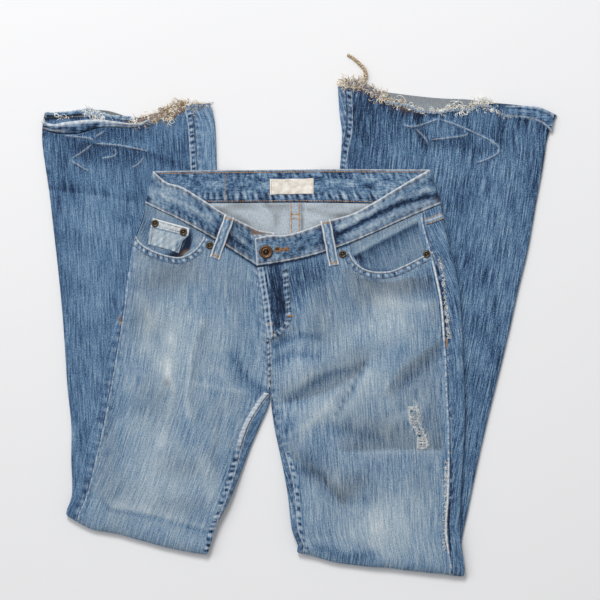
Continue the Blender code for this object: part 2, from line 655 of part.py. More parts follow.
def facing_depth(side, x, y):
    """How far a pocket facing lies under the front's face: it sinks towards the opening's edge."""
    start = np.array(THIGH[side][0].side, float)
    way = np.array(CENTRE[0].front, float) - start
    down = TURN[side] * np.array([way[1], -way[0]]) / np.hypot(*way)
    below = (x - start[0]) * down[0] + (y - start[1]) * down[1]
    inward = ((x - start[0]) * way[0] + (y - start[1]) * way[1]) / np.hypot(*way)
    edge = POCKET_EDGE[side][-1]
    sunk = np.maximum(
        smoothstep(0, FACING_SINK_BELOW, below), smoothstep(edge - FACING_SINK_BESIDE, edge, inward)
    )
    return FACING_DEPTH * (FACING_START + (1 - FACING_START) * sunk)


def pocket_facing(side):
    """The denim that shows in the pocket opening, from the side seam to just past the edge."""
    leg = leg_rows(side)
    over_front, _ = ring_lengths(leg)
    first = leg["side_seam"] + SEAM_GAP / 2
    last = pocket_edge(leg, over_front) + FACING_PAST
    along = columns((first, 0 * first, EDGE_ARC + 0 * first, last), (1, 2, 8))
    flat = ring_points(leg, along, 0)
    depth = facing_depth(side, flat[..., 0], flat[..., 1])
    rows = leg["place"] <= HIP_ROW
    grids = [ring_points(leg, along, deep)[rows] for deep in (depth, depth + FACING_THICK)]
    for grid in grids:
        shifted_row(grid, 0, 1, SEAM_GAP / 2)
        grid[-1] = grid[-2] + FACING_FOOT * (grid[-1] - grid[-2])
    add_object(f"pocket_facing_{side}", *solid_between(*grids), "light denim")


def patch(corners, steps_across, steps_down):
    """A grid in plan between four corners: top left, top right, bottom right, bottom left."""
    a, b, c, d = (np.array(corner, float) for corner in corners)
    u = np.linspace(0, 1, steps_across + 1)[None, :, None]
    v = np.linspace(0, 1, steps_down + 1)[:, None, None]
    return (a * (1 - u) + b * u) * (1 - v) + (d * (1 - u) + c * u) * v


def lay_between(name, flat, low, high, finish):
    """A flat piece laid on what is under it, between two heights at each point of its plan."""
    bottom = np.concatenate([flat, low[..., None]], axis=2)
    top = np.concatenate([flat, high[..., None]], axis=2)
    add_object(name, *solid_between(top, bottom), finish)


def coin_pocket():
    flat = patch(COIN_POCKET_CORNERS, 5, 4)
    x, y = flat[..., 0], flat[..., 1]
    bottom = front_top(x, y) - facing_depth("right", x, y) + SEAM_GAP
    lay_between("coin_pocket", flat, bottom, bottom + COIN_THICK, "light denim")


def band_profile(steps):
    """Shares across the band, and how much its face falls at each, for rounded edges."""
    share = np.array([0, 0.05] + list(np.linspace(0.2, 0.8, steps)) + [0.95, 1])
    fall = np.where((share == 0) | (share == 1), 0.7, 0.0)
    return share, fall


def end_rounding(run):
    """A quarter round, from 0 at a band's side end to 1 where its full section starts."""
    return np.sqrt(1 - (1 - np.clip(run / BAND_END_ROUND, 0, 1)) ** 2)[None, :]


def band_face(x, y):
    """Height of the front waistband's face, which passes over the fly without a step."""
    return front_top(x, y) - FLY_RAISE * fly_shape(x, y) + BAND_PROUD


def front_band(side):
    """A front stretch of the waistband; its side end rounds down to meet the back stretch."""
    last = UNDERLAP_END if side == "right" else 1.0
    along = np.unique(np.concatenate([[0, 0.006, 0.02, 0.05], np.linspace(0.12, 1, 14), [last]]))
    seam = waist_point(side, along)
    top = np.stack([read_edge(BAND_TOP[side], along, "x"), read_edge(BAND_TOP[side], along, "y")], 1)
    share, fall = band_profile(3)
    share = share[:, None, None]
    flat = seam * (1 - share) + top * share
    way = top - seam
    flat = flat + SEAM_GAP * (1 - share) * way / np.linalg.norm(way, axis=1, keepdims=True)
    x, y = flat[..., 0], flat[..., 1]
    middle = bed(x, y) + THIGH_HEIGHT / 2
    face = band_face(x, y)
    if side == "right":
        face = face - UNDERLAP_DROP * smoothstep(*UNDERLAP_ZONE, x)
    run = along * np.hypot(*(CENTRE[0].front - seam[0]))
    rounding = end_rounding(run)
    under = np.maximum(middle + SEAM_GAP / 2, face - BAND_THICK)
    under = (middle + SEAM_GAP / 2) * (1 - rounding) + under * rounding
    face = (middle + BAND_END_HALF) * (1 - rounding) + (face - fall[:, None]) * rounding
    lay_between(f"waistband_{side}", flat, under, face, "mid denim")


def back_band_bed(x, y):
    """Height under the back band, straight between its columns as the band itself is."""
    start, end = THIGH["right"][0].side[0], THIGH["left"][0].side[0]
    places = start + (end - start) * BACK_BAND_COLUMNS
    heights = [np.interp(px, places, bed(places, np.full_like(places, py)))
               for px, py in zip(x.ravel(), y.ravel())]
    return np.reshape(heights, x.shape)


def back_band():
    """The back stretch, whose inner face is up, with both ends rounded up to the front ends."""
    along = BACK_BAND_COLUMNS
    right, left = np.array(THIGH["right"][0].side, float), np.array(THIGH["left"][0].side, float)
    centre = np.array(CENTRE[0].back, float)
    half = np.clip(along * 2, 0, 1)[:, None], np.clip(along * 2 - 1, 0, 1)[:, None]
    seam = right + (centre - right) * half[0] + (left - centre) * half[1]
    top = np.stack([read_edge(BACK_BAND_TOP, along, "x"), read_edge(BACK_BAND_TOP, along, "y")], 1)
    share, fall = band_profile(2)
    share = share[:, None, None]
    way = top - seam
    flat = seam * (1 - share) + top * share
    flat = flat + SEAM_GAP * (1 - share) * way / np.linalg.norm(way, axis=1, keepdims=True)
    x, y = flat[..., 0], flat[..., 1]
    low = bed(x, y)
    middle = low + THIGH_HEIGHT / 2
    rounding = end_rounding(np.minimum(along, 1 - along) * (left[0] - right[0]))
    high = low + BAND_THICK - fall[:, None]
    ceiling = middle - SEAM_GAP / 2
    high = ceiling * (1 - rounding) + np.minimum(high, ceiling) * rounding
    low = (middle - BAND_END_HALF) * (1 - rounding) + low * rounding
    lay_between("waistband_back", flat, low, high, "mid denim")


def belt_loop(loop):
    """A strip over the band, from its top edge to below the waist seam, arched off the band."""
    start, end = np.array(loop.top, float), np.array(loop.foot, float)
    way = (end - start) / np.hypot(*(end - start))
    beside = np.array([way[1], -way[0]])
    along = np.array([0, 0.06, 0.2, 0.4, 0.6, 0.74, 0.8, 0.88, 0.95, 1])
    across = np.array([-0.5, -0.34, 0, 0.34, 0.5]) * LOOP_WIDTH
    flat = start + way * (along * np.hypot(*(end - start)))[:, None, None] + beside * across[:, None]
    x, y = flat[..., 0], flat[..., 1]
    on_band = 1 - smoothstep(loop.over + 0.03, loop.over + 0.16, along)[:, None]
    arch = LOOP_ARCH * np.sin(np.pi * np.clip(along / loop.over, 0, 1))[:, None]
    bottom = front_top(x, y) + SEAM_GAP + (BAND_PROUD + LOOP_CLEAR) * on_band + arch
    fall = np.where(np.abs(across) > 0.4 * LOOP_WIDTH, LOOP_ROUND, 0.0)
    lay_between(loop.node, flat, bottom, bottom + LOOP_THICK - fall, "mid denim")


def size_label():
    flat = patch(LABEL_CORNERS, 4, 2)
    bottom = back_band_bed(flat[..., 0], flat[..., 1]) + BAND_THICK + 2 * SEAM_GAP
    lay_between("size_label", flat, bottom, bottom + LABEL_THICK, "label cotton")


def turned(name, centre, profile, sides, finish):
    """A solid turned about the vertical line through centre, from (radius, height) pairs."""
    angle = np.arange(sides) * 2 * np.pi / sides
    x, y, z = centre
    points = [(x, y, z + profile[0][1])]
    for radius, height in profile[1:-1]:
        points += [(x + radius * np.cos(a), y + radius * np.sin(a), z + height) for a in angle]
    points.append((x, y, z + profile[-1][1]))
    faces = []
    for k in range(sides):
        after = (k + 1) % sides
        faces.append([0, 1 + after, 1 + k])
        for ring in range(len(profile) - 3):
            a = 1 + ring * sides
            faces.append([a + k, a + after, a + sides + after, a + sides + k])
        a = 1 + (len(profile) - 3) * sides
        faces.append([a + k, a + after, len(points) - 1])
    made = add_object(name, points, outward(np.array(points), faces), finish)
    made.data.shade_smooth()
    made.data.set_sharp_from_angle(angle=0.7)


def waist_button():
    x, y = np.array([BUTTON_AT[0]], float), np.array([BUTTON_AT[1]], float)
    seat = float(band_face(x, y)[0]) + SEAM_GAP
    r = BUTTON_RADIUS
    profile = [(0, 0), (0.45 * r, 0), (0.5 * r, 1.0), (0.94 * r, 1.3), (r, 2.1), (0.92 * r, 2.9),
               (0.66 * r, 2.9), (0.56 * r, 2.2), (0.3 * r, 2.2), (0, 2.7)]
    turned("waist_button", (*BUTTON_AT, seat), profile, 24, "copper")


def rivet(spot):
    x, y = np.array([spot.x], float), np.array([spot.y], float)
    seat = float(front_top(x, y)[0])
    if spot.on == "coin":
        seat += SEAM_GAP + COIN_THICK - float(facing_depth("right", x, y)[0])
    r = RIVET_RADIUS
    profile = [(0, 0), (0.9 * r, 0), (r, 0.5), (0.85 * r, 1.2), (0.5 * r, 1.5), (0.3 * r, 1.2),
               (0, 1.6)]
    turned(spot.node, (spot.x, spot.y, seat + RIVET_LIFT), profile, 14, "aged brass")


def hem_line(side, across):
    """The back panel's frayed edge in plan, and the way out past it, at shares across the leg."""
    row = CALF[side][-1]
    start, end = np.array(row.side, float), np.array(row.inner, float)
    way = (end - start) / np.hypot(*(end - start))
    out = -TURN[side] * np.array([way[1], -way[0]])
    edge = read_edge(HEM_EDGE[side], across, "back")
    return start + (end - start) * across[:, None] + out * edge[:, None], way, out


def hem_fray(side):
    """Locks of loose thread that grow from a narrow strip along the back panel's hem edge."""
    across = np.linspace(0.03, 0.97, FRAY_LOCKS + 1)
    if side == "left":
        across = across[::-1]  # so that each lock's ring turns the same way as its root
    edge, way, out = hem_line(side, across)
    root = edge + out * (SEAM_GAP + 0.3)
    rim = root + out * FRAY_STRIP
    points, faces = [], []
    for k in range(len(across)):
        for xy, z in ((root[k], FRAY_BOTTOM), (root[k], FRAY_TOP), (rim[k], FRAY_TOP),
                      (rim[k], FRAY_BOTTOM)):
            points.append((xy[0], xy[1], z))
    faces.append([0, 1, 2, 3])
    faces.append([4 * FRAY_LOCKS + k for k in (3, 2, 1, 0)])
    for k in range(FRAY_LOCKS):
        a, b = 4 * k, 4 * (k + 1)
        faces += [[a, b, b + 1, a + 1], [a + 1, b + 1, b + 2, a + 2], [a + 3, b + 3, b, a]]
        base = [a + 2, b + 2, b + 3, a + 3]
        middle = (across[k] + across[k + 1]) / 2
        length = float(read_edge(FRAY[side], np.array([middle]), "length")[0])
        length *= 0.75 + 0.5 * (k * 7 % 5) / 4
        lean = FRAY_LEAN * np.sin(2.4 * k)
        if side == "left" and across[k + 1] <= TAIL_ACROSS < across[k]:
            route = np.array(TAIL_ROUTE, float)
            size = TAIL_THICK * np.linspace(1, 0.45, len(route)) / 2
        else:
            centre = np.mean([points[p] for p in base], axis=0)
            aim = np.array([*(out + way * lean), 0.0])
            route = centre + aim * length * np.array([[0.5], [1.0]])
            route[:, 2] = np.array([2.8, 2.2]) + 0.3 * np.cos(1.7 * k)
            size = np.array([0.62, 0.3]) * FRAY_STRIP / 2
        ring = grow(points, faces, base, route, size)
        faces.append(ring)
    points = np.array(points)
    add_object(f"hem_fray_{side}", points, outward(points, faces), "frayed cotton")


def grow(points, faces, ring, route, size):
    """A four-sided strand from a ring of points along a route; returns its last ring."""
    before = np.mean([points[p] for p in ring], axis=0)
    for centre, half in zip(route, size):
        ahead = centre - before
        ahead /= np.linalg.norm(ahead)
        beside = np.cross(ahead, (0, 0, 1))
        beside /= np.linalg.norm(beside)
        upward = np.cross(beside, ahead)
        start = len(points)
        for s, t in ((-1, 1), (1, 1), (1, -1), (-1, -1)):
            points.append(tuple(centre + half * (s * beside + t * upward)))
        new = [start, start + 1, start + 2, start + 3]
        for k in range(4):
            after = (k + 1) % 4
            faces.append([ring[k], ring[after], new[after], new[k]])
        ring, before = new, centre
    return ring


def main():
    clear_scene()
    for side in ("right", "left"):
        front_panel(side)
        back_pieces(side)
        pocket_facing(side)
        front_band(side)
        hem_fray(side)
    back_band()
    coin_pocket()
    for loop in BELT_LOOPS:
        belt_loop(loop)
    size_label()
    waist_button()
    for spot in RIVETS:
        rivet(spot)


main()
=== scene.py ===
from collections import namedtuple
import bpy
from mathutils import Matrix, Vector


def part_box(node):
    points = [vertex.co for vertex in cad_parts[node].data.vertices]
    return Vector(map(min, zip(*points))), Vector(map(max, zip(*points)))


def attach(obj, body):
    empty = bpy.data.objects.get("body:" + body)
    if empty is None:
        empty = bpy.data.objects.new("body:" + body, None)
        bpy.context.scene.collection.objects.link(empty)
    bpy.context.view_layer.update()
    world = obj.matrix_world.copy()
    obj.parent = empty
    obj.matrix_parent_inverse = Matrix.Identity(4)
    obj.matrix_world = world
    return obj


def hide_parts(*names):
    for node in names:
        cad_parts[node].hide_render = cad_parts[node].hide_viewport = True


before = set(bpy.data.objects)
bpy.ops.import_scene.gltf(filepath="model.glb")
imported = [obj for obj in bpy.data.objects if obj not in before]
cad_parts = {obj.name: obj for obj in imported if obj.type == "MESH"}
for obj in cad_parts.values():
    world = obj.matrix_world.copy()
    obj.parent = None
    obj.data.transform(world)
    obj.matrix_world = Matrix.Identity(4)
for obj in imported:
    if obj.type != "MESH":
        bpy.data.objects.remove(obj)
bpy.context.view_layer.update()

# Bootcut jeans that lie face up on a flat surface, with both legs folded under at the knee.
# Tables and sizes are in millimetres, and the finished meshes in metres. Right and left are the
# wearer's, so the right leg lies at -X. +Y points from the knee folds to the waist and the hems.

from types import SimpleNamespace

import bpy
import numpy as np
from mathutils import Vector

MM = 0.001

# Cloth and layers
DENIM = 1.3
SEAM_GAP = 0.3
CALF_SEAM_GAP = 0.7
CALF_HEIGHT = 5.4
THIGH_HEIGHT = 5.8
LAYER_GAP = 0.8
EDGE_RADIUS = 3.2
EDGE_ARC = 3.2
FOLD_REACH = 7.0
SAG_START, SAG_END = 10.0, 46.0
RIGHT_CALF_INNER = -105.0
LEFT_CALF_INNER = (-2.0, -288.0)
LEFT_CALF_LEAN = 0.1144
BAND_WIDTH, BAND_THICK, BAND_PROUD = 40.0, 2.4, 0.8
FACING_THICK = 1.0
FACING_DEPTH, FACING_START = 1.7, 0.25
FACING_SINK_BELOW, FACING_SINK_BESIDE = 14.0, 12.0
FACING_PAST, FACING_END_ROW = 9.0, 2.4
FLY_FOOT, FLY_WIDTH, FLY_RAISE = -31.0, 29.0, 0.8

SIDES = ("right", "left")
TURN = {"right": 1.0, "left": -1.0}
# Where each kind of piece starts in the denim's grain, so that no two show the same streaks
GRAIN = {"front": 500, "back": 1500, "facing": 2500, "trim": 3000, "front band": 3500,
         "back band": 4500, "loop": 6000, "coin pocket": 7000, "hem": 8000}


def table(kind, *rows):
    """Rows of plain values as rows of one kind, with named columns."""
    return [kind(*row) for row in rows]


Centre = namedtuple("Centre", "row front back")
CENTRE = table(
    Centre,
    ("waist", (-53.5, 61), (-3, 141)), ("yoke", (-51, 46), (-5, 88)), ("pocket", (-47, 20), (-9, 49)),
    ("hip", (-43.5, -6), (-13, 14)), ("low hip", (-40.5, -35), (-20, -24)),
    ("seat", (-38.3, -63), (-29, -57)), ("crotch", (-37, -89), (-37, -89)),
)
# side and inner: the leg's borders. side_seam and inseam: how far each seam lies in from them
Row = namedtuple("Row", "name side inner side_seam inseam")
THIGH = {
    "right": table(
        Row,
        ("waist", (-193, 139), None, -4, 0), ("yoke", (-197, 120), None, -4, 0),
        ("pocket", (-206, 96), None, -3, 0), ("hip", (-212, 61), None, -1, 0),
        ("low hip", (-219, 22), None, 1, 0), ("seat", (-230, -10), None, 7, 0),
        ("crotch", (-240, -40), None, 12, 0), ("thigh top", (-246, -74), (-38.5, -112), 12, 12),
        ("thigh", (-252, -107), (-49, -137), 12, 15), ("mid thigh", (-259, -138), (-61, -165), 13, 12),
        ("low thigh", (-268, -172), (-74, -199), 14, 8),
        ("above knee", (-276, -202), (-87, -231), 15, 5), ("knee", (-283, -226), (-103, -262), 15, 1),
        ("fold", (-290, -241), (-113, -291), 15, -2),
    ),
    "left": table(
        Row,
        ("waist", (177, 138), None, 25, 0), ("yoke", (180, 119), None, 25, 0),
        ("pocket", (187, 90), None, 24, 0), ("hip", (195, 58), None, 24, 0),
        ("low hip", (201, 22), None, 23, 0), ("seat", (203.5, -18), None, 22, 0),
        ("crotch", (205, -55), None, 21, 0), ("thigh top", (206, -88), (-35, -116), 21, 4),
        ("thigh", (207, -122), (-31, -143), 20, 5), ("mid thigh", (206, -157), (-25, -171), 18, 6),
        ("low thigh", (204, -192), (-19, -200), 16, 8), ("above knee", (202, -228), (-14, -230), 15, 8),
        ("knee", (201, -272), (-10, -266), 16, 7), ("fold", (207, -318), (-2, -288), 16, 7),
    ),
}
CALF = {
    "right": table(
        Row,
        ("fold", (-290, -241), (-113, -291), 15, -2), ("knee", (-285, -222), (-109, -262), 15, -4),
        ("below knee", (-286, -181), (-108, -206), 14, -6),
        ("high calf", (-286, -138), (-107, -156), 12, -8), ("calf", (-291, -88), (-106, -100), 10, -10),
        ("mid calf", (-294, -40), (-104, -46), 9, -13), ("low calf", (-298, 12), (-103, 10), 8, -15),
        ("shin", (-303, 62), (-102, 64), 7, -18), ("low shin", (-308, 106), (-102, 112), 6, -20),
        ("ankle", (-313, 150), (-103, 157), 5, -22), ("flare", (-318, 184), (-104, 194), 4, -24),
        ("low flare", (-322, 214), (-105, 225), 4, -25), ("hem top", (-322, 236), (-107, 247), 4, -25),
        ("hem", (-319, 252), (-112, 266), 4, -24),
    ),
    "left": table(
        Row,
        ("fold", (207, -318), (-2, -288), 16, 7), ("knee", (203, -287), (-1, -262), 16, 7),
        ("below knee", (212, -240), (2, -214), 16, 7), ("high calf", (224, -182), (8, -156), 15, 7),
        ("calf", (237, -125), (15, -98), 14, 7), ("mid calf", (251, -69), (22, -41), 13, 6),
        ("low calf", (263, -19), (29, 10), 12, 6), ("shin", (274, 31), (36, 61), 11, 4),
        ("low shin", (286, 81), (42, 111), 10, 2.5), ("ankle", (296, 138), (49, 164), 9, 1),
        ("flare", (303, 175), (52, 203), 8, -1), ("low flare", (307, 200), (53, 229), 7, -5),
        ("hem top", (311, 224), (50, 254), 6, -9), ("hem", (322, 251), (48, 286), 5, -9),
    ),
}
YOKE_ROW, POCKET_ROW, HIP_ROW, CROTCH_ROW = 1, 2, 3, 6
FOLD_ROW = len(THIGH["right"]) - 1
CALF_ROWS = len(CALF["right"]) - 1
FIRST_CALF_ROW = FOLD_ROW + 1
LAST_ROW = FIRST_CALF_ROW + CALF_ROWS
HEM_ROWS = LAST_ROW - 3
THIGH_STEPS, CALF_STEPS, FOLD_STEPS = 12, 13, 18
THIGH_STATIONS = np.linspace(0, FOLD_ROW, THIGH_STEPS * FOLD_ROW + 1)
CALF_STATIONS = np.linspace(0, CALF_ROWS, CALF_STEPS * CALF_ROWS + 1)

Edge = namedtuple("Edge", "across back front")
HEM_EDGE = {
    "right": table(
        Edge,
        (0, -5, 1), (0.19, -7, 1), (0.37, -10, -1), (0.55, -17, -14), (0.64, -17, -16), (0.76, -9, -8),
        (0.85, -3, -3), (1, -1, 0),
    ),
    "left": table(
        Edge,
        (0, -1, 0), (0.08, 5, 5), (0.17, 5, 6), (0.3, 3, 5), (0.4, -8, 5), (0.53, -16, 2),
        (0.64, -20, 1), (0.72, -14, 1), (0.81, -6, 1), (0.9, 1, 2), (1, 0, 0),
    ),
}
HEM_FADE = 45.0

Bulge = namedtuple("Bulge", "across out")
FOLD_BULGE = {
    "right": table(
        Bulge,
        (0, 0), (0.1, 5), (0.2, 8.5), (0.3, 6), (0.45, 5), (0.6, 5), (0.75, 4.5), (0.9, 2), (1, 0),
    ),
    "left": table(
        Bulge,
        (0, 0), (0.15, 0.5), (0.3, 2), (0.45, 2.5), (0.62, 5), (0.75, 5), (0.85, 3), (0.93, 0.5),
        (1, 0),
    ),
}
WAIST_BOW = {"right": (-3.5, 1.0), "left": (10.5, 1.4)}
POCKET_EDGE = {"right": (86, 81, 76, 69, 62), "left": (124, 123.5, 122, 118, 110)}
POCKET_BOW = {"right": 3.5, "left": 12.0}
POCKET_LINE_SHARE = 0.42

# Soft folds: a line through points, its height, its half width
Fold = namedtuple("Fold", "points height width")
FRONT_FOLDS = table(
    Fold,
    ([(-250, -228), (-118, -270)], -1.5, 12), ([(-225, -200), (-130, -232)], 1.4, 15),
    ([(-15, -104), (70, -66)], -1.6, 13), ([(0, -76), (75, -36)], 1.8, 15),
    ([(48, -146), (112, -158)], -1.4, 13), ([(40, -122), (118, -136)], 1.4, 14),
    ([(2, -196), (60, -230)], -1.3, 12), ([(30, -180), (90, -205)], 1.2, 15),
    ([(122, -92), (184, -36)], -1.4, 13), ([(106, -116), (172, -70)], 1.3, 16),
    ([(-185, -40), (-170, -170)], 1.6, 20), ([(-222, -60), (-240, -170)], -1.0, 14),
    ([(-140, -20), (-150, -150)], -1.2, 18), ([(-115, 20), (-62, -70)], 1.6, 16),
    ([(15, 30), (8, -50)], 1.2, 16), ([(70, 10), (90, -70)], -1.0, 16),
    ([(125, 35), (130, -60)], 1.5, 18), ([(150, -170), (165, -290)], 1.2, 18),
    ([(70, -240), (100, -300)], 1.0, 16),
)
CALF_FOLDS = table(
    Fold,
    ([(-265, 215), (-190, 203)], 1.0, 12), ([(-290, 190), (-230, 178)], -0.8, 14),
    ([(-278, 130), (-282, -60)], 1.1, 14), ([(-306, 90), (-300, -90)], -0.6, 10),
    ([(140, 236), (250, 205)], 1.0, 13), ([(150, 215), (215, 185)], -0.8, 14),
    ([(255, 160), (226, 0)], 1.1, 16), ([(75, 245), (66, 195)], 1.0, 14),
)
# Narrower creases that only the finished cloth has
FRONT_CREASES = table(
    Fold,
    ([(-246, -231), (-237, -244), (-199, -250), (-162, -259), (-116, -272)], -0.6, 3),
    ([(-240, -236), (-199, -243), (-160, -252), (-120, -263)], 0.25, 5),
    ([(-12, -106), (13, -88), (38, -75), (63, -71), (82, -62)], -0.7, 6),
    ([(-14, -96), (16, -76), (44, -64), (70, -58)], 0.35, 6),
    ([(50, -144), (76, -147), (101, -156)], -0.4, 7), ([(1, -194), (26, -200), (38, -219)], -0.55, 6),
    ([(10, -186), (34, -193), (48, -212)], 0.25, 6), ([(38, -225), (63, -234), (84, -230)], -0.45, 6),
    ([(126, -88), (163, -56), (182, -38)], -0.6, 7), ([(-31, -38), (1, -25), (24, -28)], -0.8, 5),
    ([(-33, -58), (-6, -48), (20, -52)], -0.6, 6), ([(-48, -95), (-70, -74), (-84, -50)], -0.8, 6),
    ([(-60, -108), (-82, -92), (-98, -70)], 0.3, 6), ([(24, -292), (60, -304), (96, -300)], -0.8, 7),
    ([(105, -150), (120, -130), (150, -118)], 0.5, 7), ([(-196, 20), (-186, -10), (-192, -40)], 0.5, 8),
    ([(-120, -180), (-108, -200), (-112, -225)], 0.5, 8), ([(78, -70), (62, -98), (46, -124)], -0.7, 3),
    ([(88, -70), (74, -98), (58, -124)], 0.35, 6),
    ([(-124, -9), (-134, -40), (-142, -97), (-138, -127)], 0.6, 3),
    ([(76, -66), (58, -96), (40, -130)], 0.6, 2.5), ([(-12, -150), (20, -130), (52, -92)], 0.5, 4),
    ([(-133, -85), (-100, -92), (-66, -96)], 0.4, 3),
    ([(-166, -73), (-155, -98), (-174, -165)], 0.5, 5),
    ([(66, -173), (118, -171), (174, -171)], 0.3, 3), ([(100, 20), (130, 10), (168, 14)], 0.5, 8),
)
CALF_CREASES = table(
    Fold,
    ([(-296, 225), (-262, 221), (-258, 215)], 0.8, 3), ([(-258, 221), (-243, 231)], 0.7, 3),
    ([(-258, 215), (-224, 212), (-189, 205)], 0.8, 3),
    ([(-258, 215), (-272, 204), (-287, 195)], 0.8, 3),
    ([(-287, 194), (-274, 186), (-262, 179)], 0.7, 3),
    ([(-231, 211), (-231, 200), (-249, 196)], 0.7, 3),
    ([(-193, 200), (-202, 189), (-212, 184)], 0.7, 3), ([(126, 239), (144, 236), (176, 246)], 0.8, 3),
    ([(144, 235), (157, 221), (163, 211)], 0.8, 3),
    ([(163, 219), (188, 222), (207, 225), (213, 231)], 0.8, 3),
    ([(176, 245), (194, 239), (213, 231), (238, 219), (251, 210)], 0.8, 3),
    ([(251, 210), (247, 202), (232, 194), (219, 190)], 0.7, 3),
)
CALF_HOLLOWS = table(
    Fold,
    ([(-300, 212), (-270, 212), (-240, 224)], -1.3, 7),
    ([(-250, 205), (-215, 200), (-190, 192)], -1.2, 6),
    ([(-300, 180), (-270, 172), (-240, 176)], -0.7, 8),
    ([(-318, 231), (-296, 229), (-284, 228)], -1.0, 4), ([(152, 234), (178, 232), (205, 219)], -1.2, 6),
    ([(170, 208), (205, 206), (236, 204)], -1.2, 7), ([(120, 225), (140, 212), (150, 195)], -0.7, 8),
    ([(62, 262), (62, 240), (58, 215)], -0.8, 6),
)

BandEdge = namedtuple("BandEdge", "along x y")
UNDERLAP_END, UNDERLAP_DROP = 1.14, 2.7
UNDERLAP_ZONE = (-84.0, -62.0)
BAND_TOP = {
    "right": table(
        BandEdge,
        (0, -183, 180), (0.14, -166, 166), (0.28, -147, 160), (0.45, -122, 145), (0.62, -98, 129),
        (0.76, -80, 120), (0.9, -61, 111), (1, -50, 106), (UNDERLAP_END, -31, 103),
    ),
    "left": table(
        BandEdge,
        (0, 163, 182), (0.1, 141, 170), (0.2, 116, 155), (0.3, 93, 141), (0.42, 67, 127),
        (0.55, 37, 118), (0.68, 8, 107), (0.8, -18, 100), (0.9, -36, 100), (1, -56, 96),
    ),
}
BACK_BAND_TOP = table(BandEdge, (0, -183, 180), (0.3, -78, 181.5), (0.6, 26, 182.5), (1, 163, 182))
BAND_END_ROUND, BAND_END_HALF = 5.0, 1.1


def smoothstep(low, high, x):
    """0 at low and 1 at high, with a soft cubic step between them."""
    t = np.clip((x - low) / (high - low), 0, 1)
    return t * t * (3 - 2 * t)


def bell(x, middle, half):
    """1 at the middle, falling off to both sides as e to the minus square of half widths."""
    return np.exp(-(((x - middle) / half) ** 2))


def plan(grid):
    """The x and the y of a grid's places."""
    return grid[..., 0], grid[..., 1]


def at_height(flat, z):
    """Places in plan, each with its height."""
    return np.concatenate([flat, z[..., None]], axis=-1)


def above(face, lift):
    """The surface that lies higher than a face by a lift."""
    return lambda x, y: face(x, y) + lift


def read_rows(rows, at):
    """The rows read at places between them, on the cubic curve through every row."""
    rows = np.asarray(rows, float)
    at = np.asarray(at, float)
    slope = np.gradient(rows, axis=0)
    row = np.clip(np.floor(at).astype(int), 0, len(rows) - 2)
    part = (at - row).reshape(at.shape + (1,) * (rows.ndim - 1))
    return (
        rows[row] * (2 * part**3 - 3 * part**2 + 1)
        + slope[row] * (part**3 - 2 * part**2 + part)
        + rows[row + 1] * (3 * part**2 - 2 * part**3)
        + slope[row + 1] * (part**3 - part**2)
    )


def read_edge(rows, across, column):
    """One column of a table against its first column, smooth between the rows."""
    first = np.array([row[0] for row in rows], float)
    values = np.array([getattr(row, column) for row in rows], float)
    return read_rows(values, np.interp(across, first, np.arange(len(first))))


def line_distance(points, x, y):
    """Distance from each place to a line through points, and how far past its ends it lies."""
    points = np.asarray(points, float)
    nearest = np.full(np.shape(x), np.inf)
    past = np.zeros(np.shape(x))
    for k, (a, b) in enumerate(zip(points[:-1], points[1:])):
        way = b - a
        length = np.hypot(*way)
        s = ((x - a[0]) * way[0] + (y - a[1]) * way[1]) / length
        held = np.clip(s, 0, length)
        off = np.hypot(x - a[0] - held * way[0] / length, y - a[1] - held * way[1] / length)
        beyond = np.where(k == 0, np.maximum(0, -s), 0)
        beyond = beyond + np.where(k == len(points) - 2, np.maximum(0, s - length), 0)
        closer = off < nearest
        past = np.where(closer, beyond, past)
        nearest = np.where(closer, off, nearest)
    return nearest, past


def fold_height(folds, x, y):
    """The sum of folds: a bell across each line, which fades at both of its ends."""
    total = np.zeros(np.shape(x))
    for fold in folds:
        if len(fold.points) == 2:  # a straight fold keeps its width past its ends
            (x0, y0), (x1, y1) = fold.points
            way = np.array([x1 - x0, y1 - y0], float)
            length = np.hypot(*way)
            way /= length
            s = (x - x0) * way[0] + (y - y0) * way[1]
            off = (y - y0) * way[0] - (x - x0) * way[1]
            past = np.maximum(0, np.maximum(-s, s - length))
        else:
            off, past = line_distance(fold.points, x, y)
        total += fold.height * np.exp(-((off / fold.width) ** 2) - (past / (2 * fold.width)) ** 2)
    return total


def calf_top(x, y):
    """Height of the calves' upper face: the flat leg's height and its soft folds."""
    return CALF_HEIGHT + fold_height(CALF_FOLDS, x, y)


def calf_face(x, y):
    """Height of the finished upper face of a calf."""
    return calf_top(x, y) + fold_height(CALF_CREASES + CALF_HOLLOWS, x, y)


def off_calf(x, y):
    """How far a place lies off the inner border of the nearer calf, towards the middle."""
    off_left = LEFT_CALF_INNER[0] + LEFT_CALF_LEAN * (y - LEFT_CALF_INNER[1]) - x
    return np.minimum(x - RIGHT_CALF_INNER, off_left)


def bed(x, y):
    """Height of what the hips and thighs lie on: the calves, and between them the table."""
    cover = 1 - smoothstep(SAG_START, SAG_END, off_calf(x, y))
    return (calf_top(x, y) + LAYER_GAP) * cover


def fly_shape(x, y):
    """1 on the fly overlap, whose foot is a quarter round, and 0 off it."""
    edge_x, edge_y = np.array([centre.front for centre in reversed(CENTRE)], float).T
    beside = x - np.interp(y, edge_y, edge_x)
    foot = np.sqrt(np.maximum(0, 1 - np.clip((FLY_FOOT + FLY_WIDTH - y) / FLY_WIDTH, 0, 1) ** 2))
    reach = FLY_WIDTH * foot
    return smoothstep(0, 3, reach - beside) * smoothstep(-1.5, -0.5, beside) * (y > FLY_FOOT - 3)


def front_top(x, y):
    """Height of the top face of the thighs and hips, without the narrow creases."""
    return bed(x, y) + THIGH_HEIGHT + fold_height(FRONT_FOLDS, x, y) + FLY_RAISE * fly_shape(x, y)


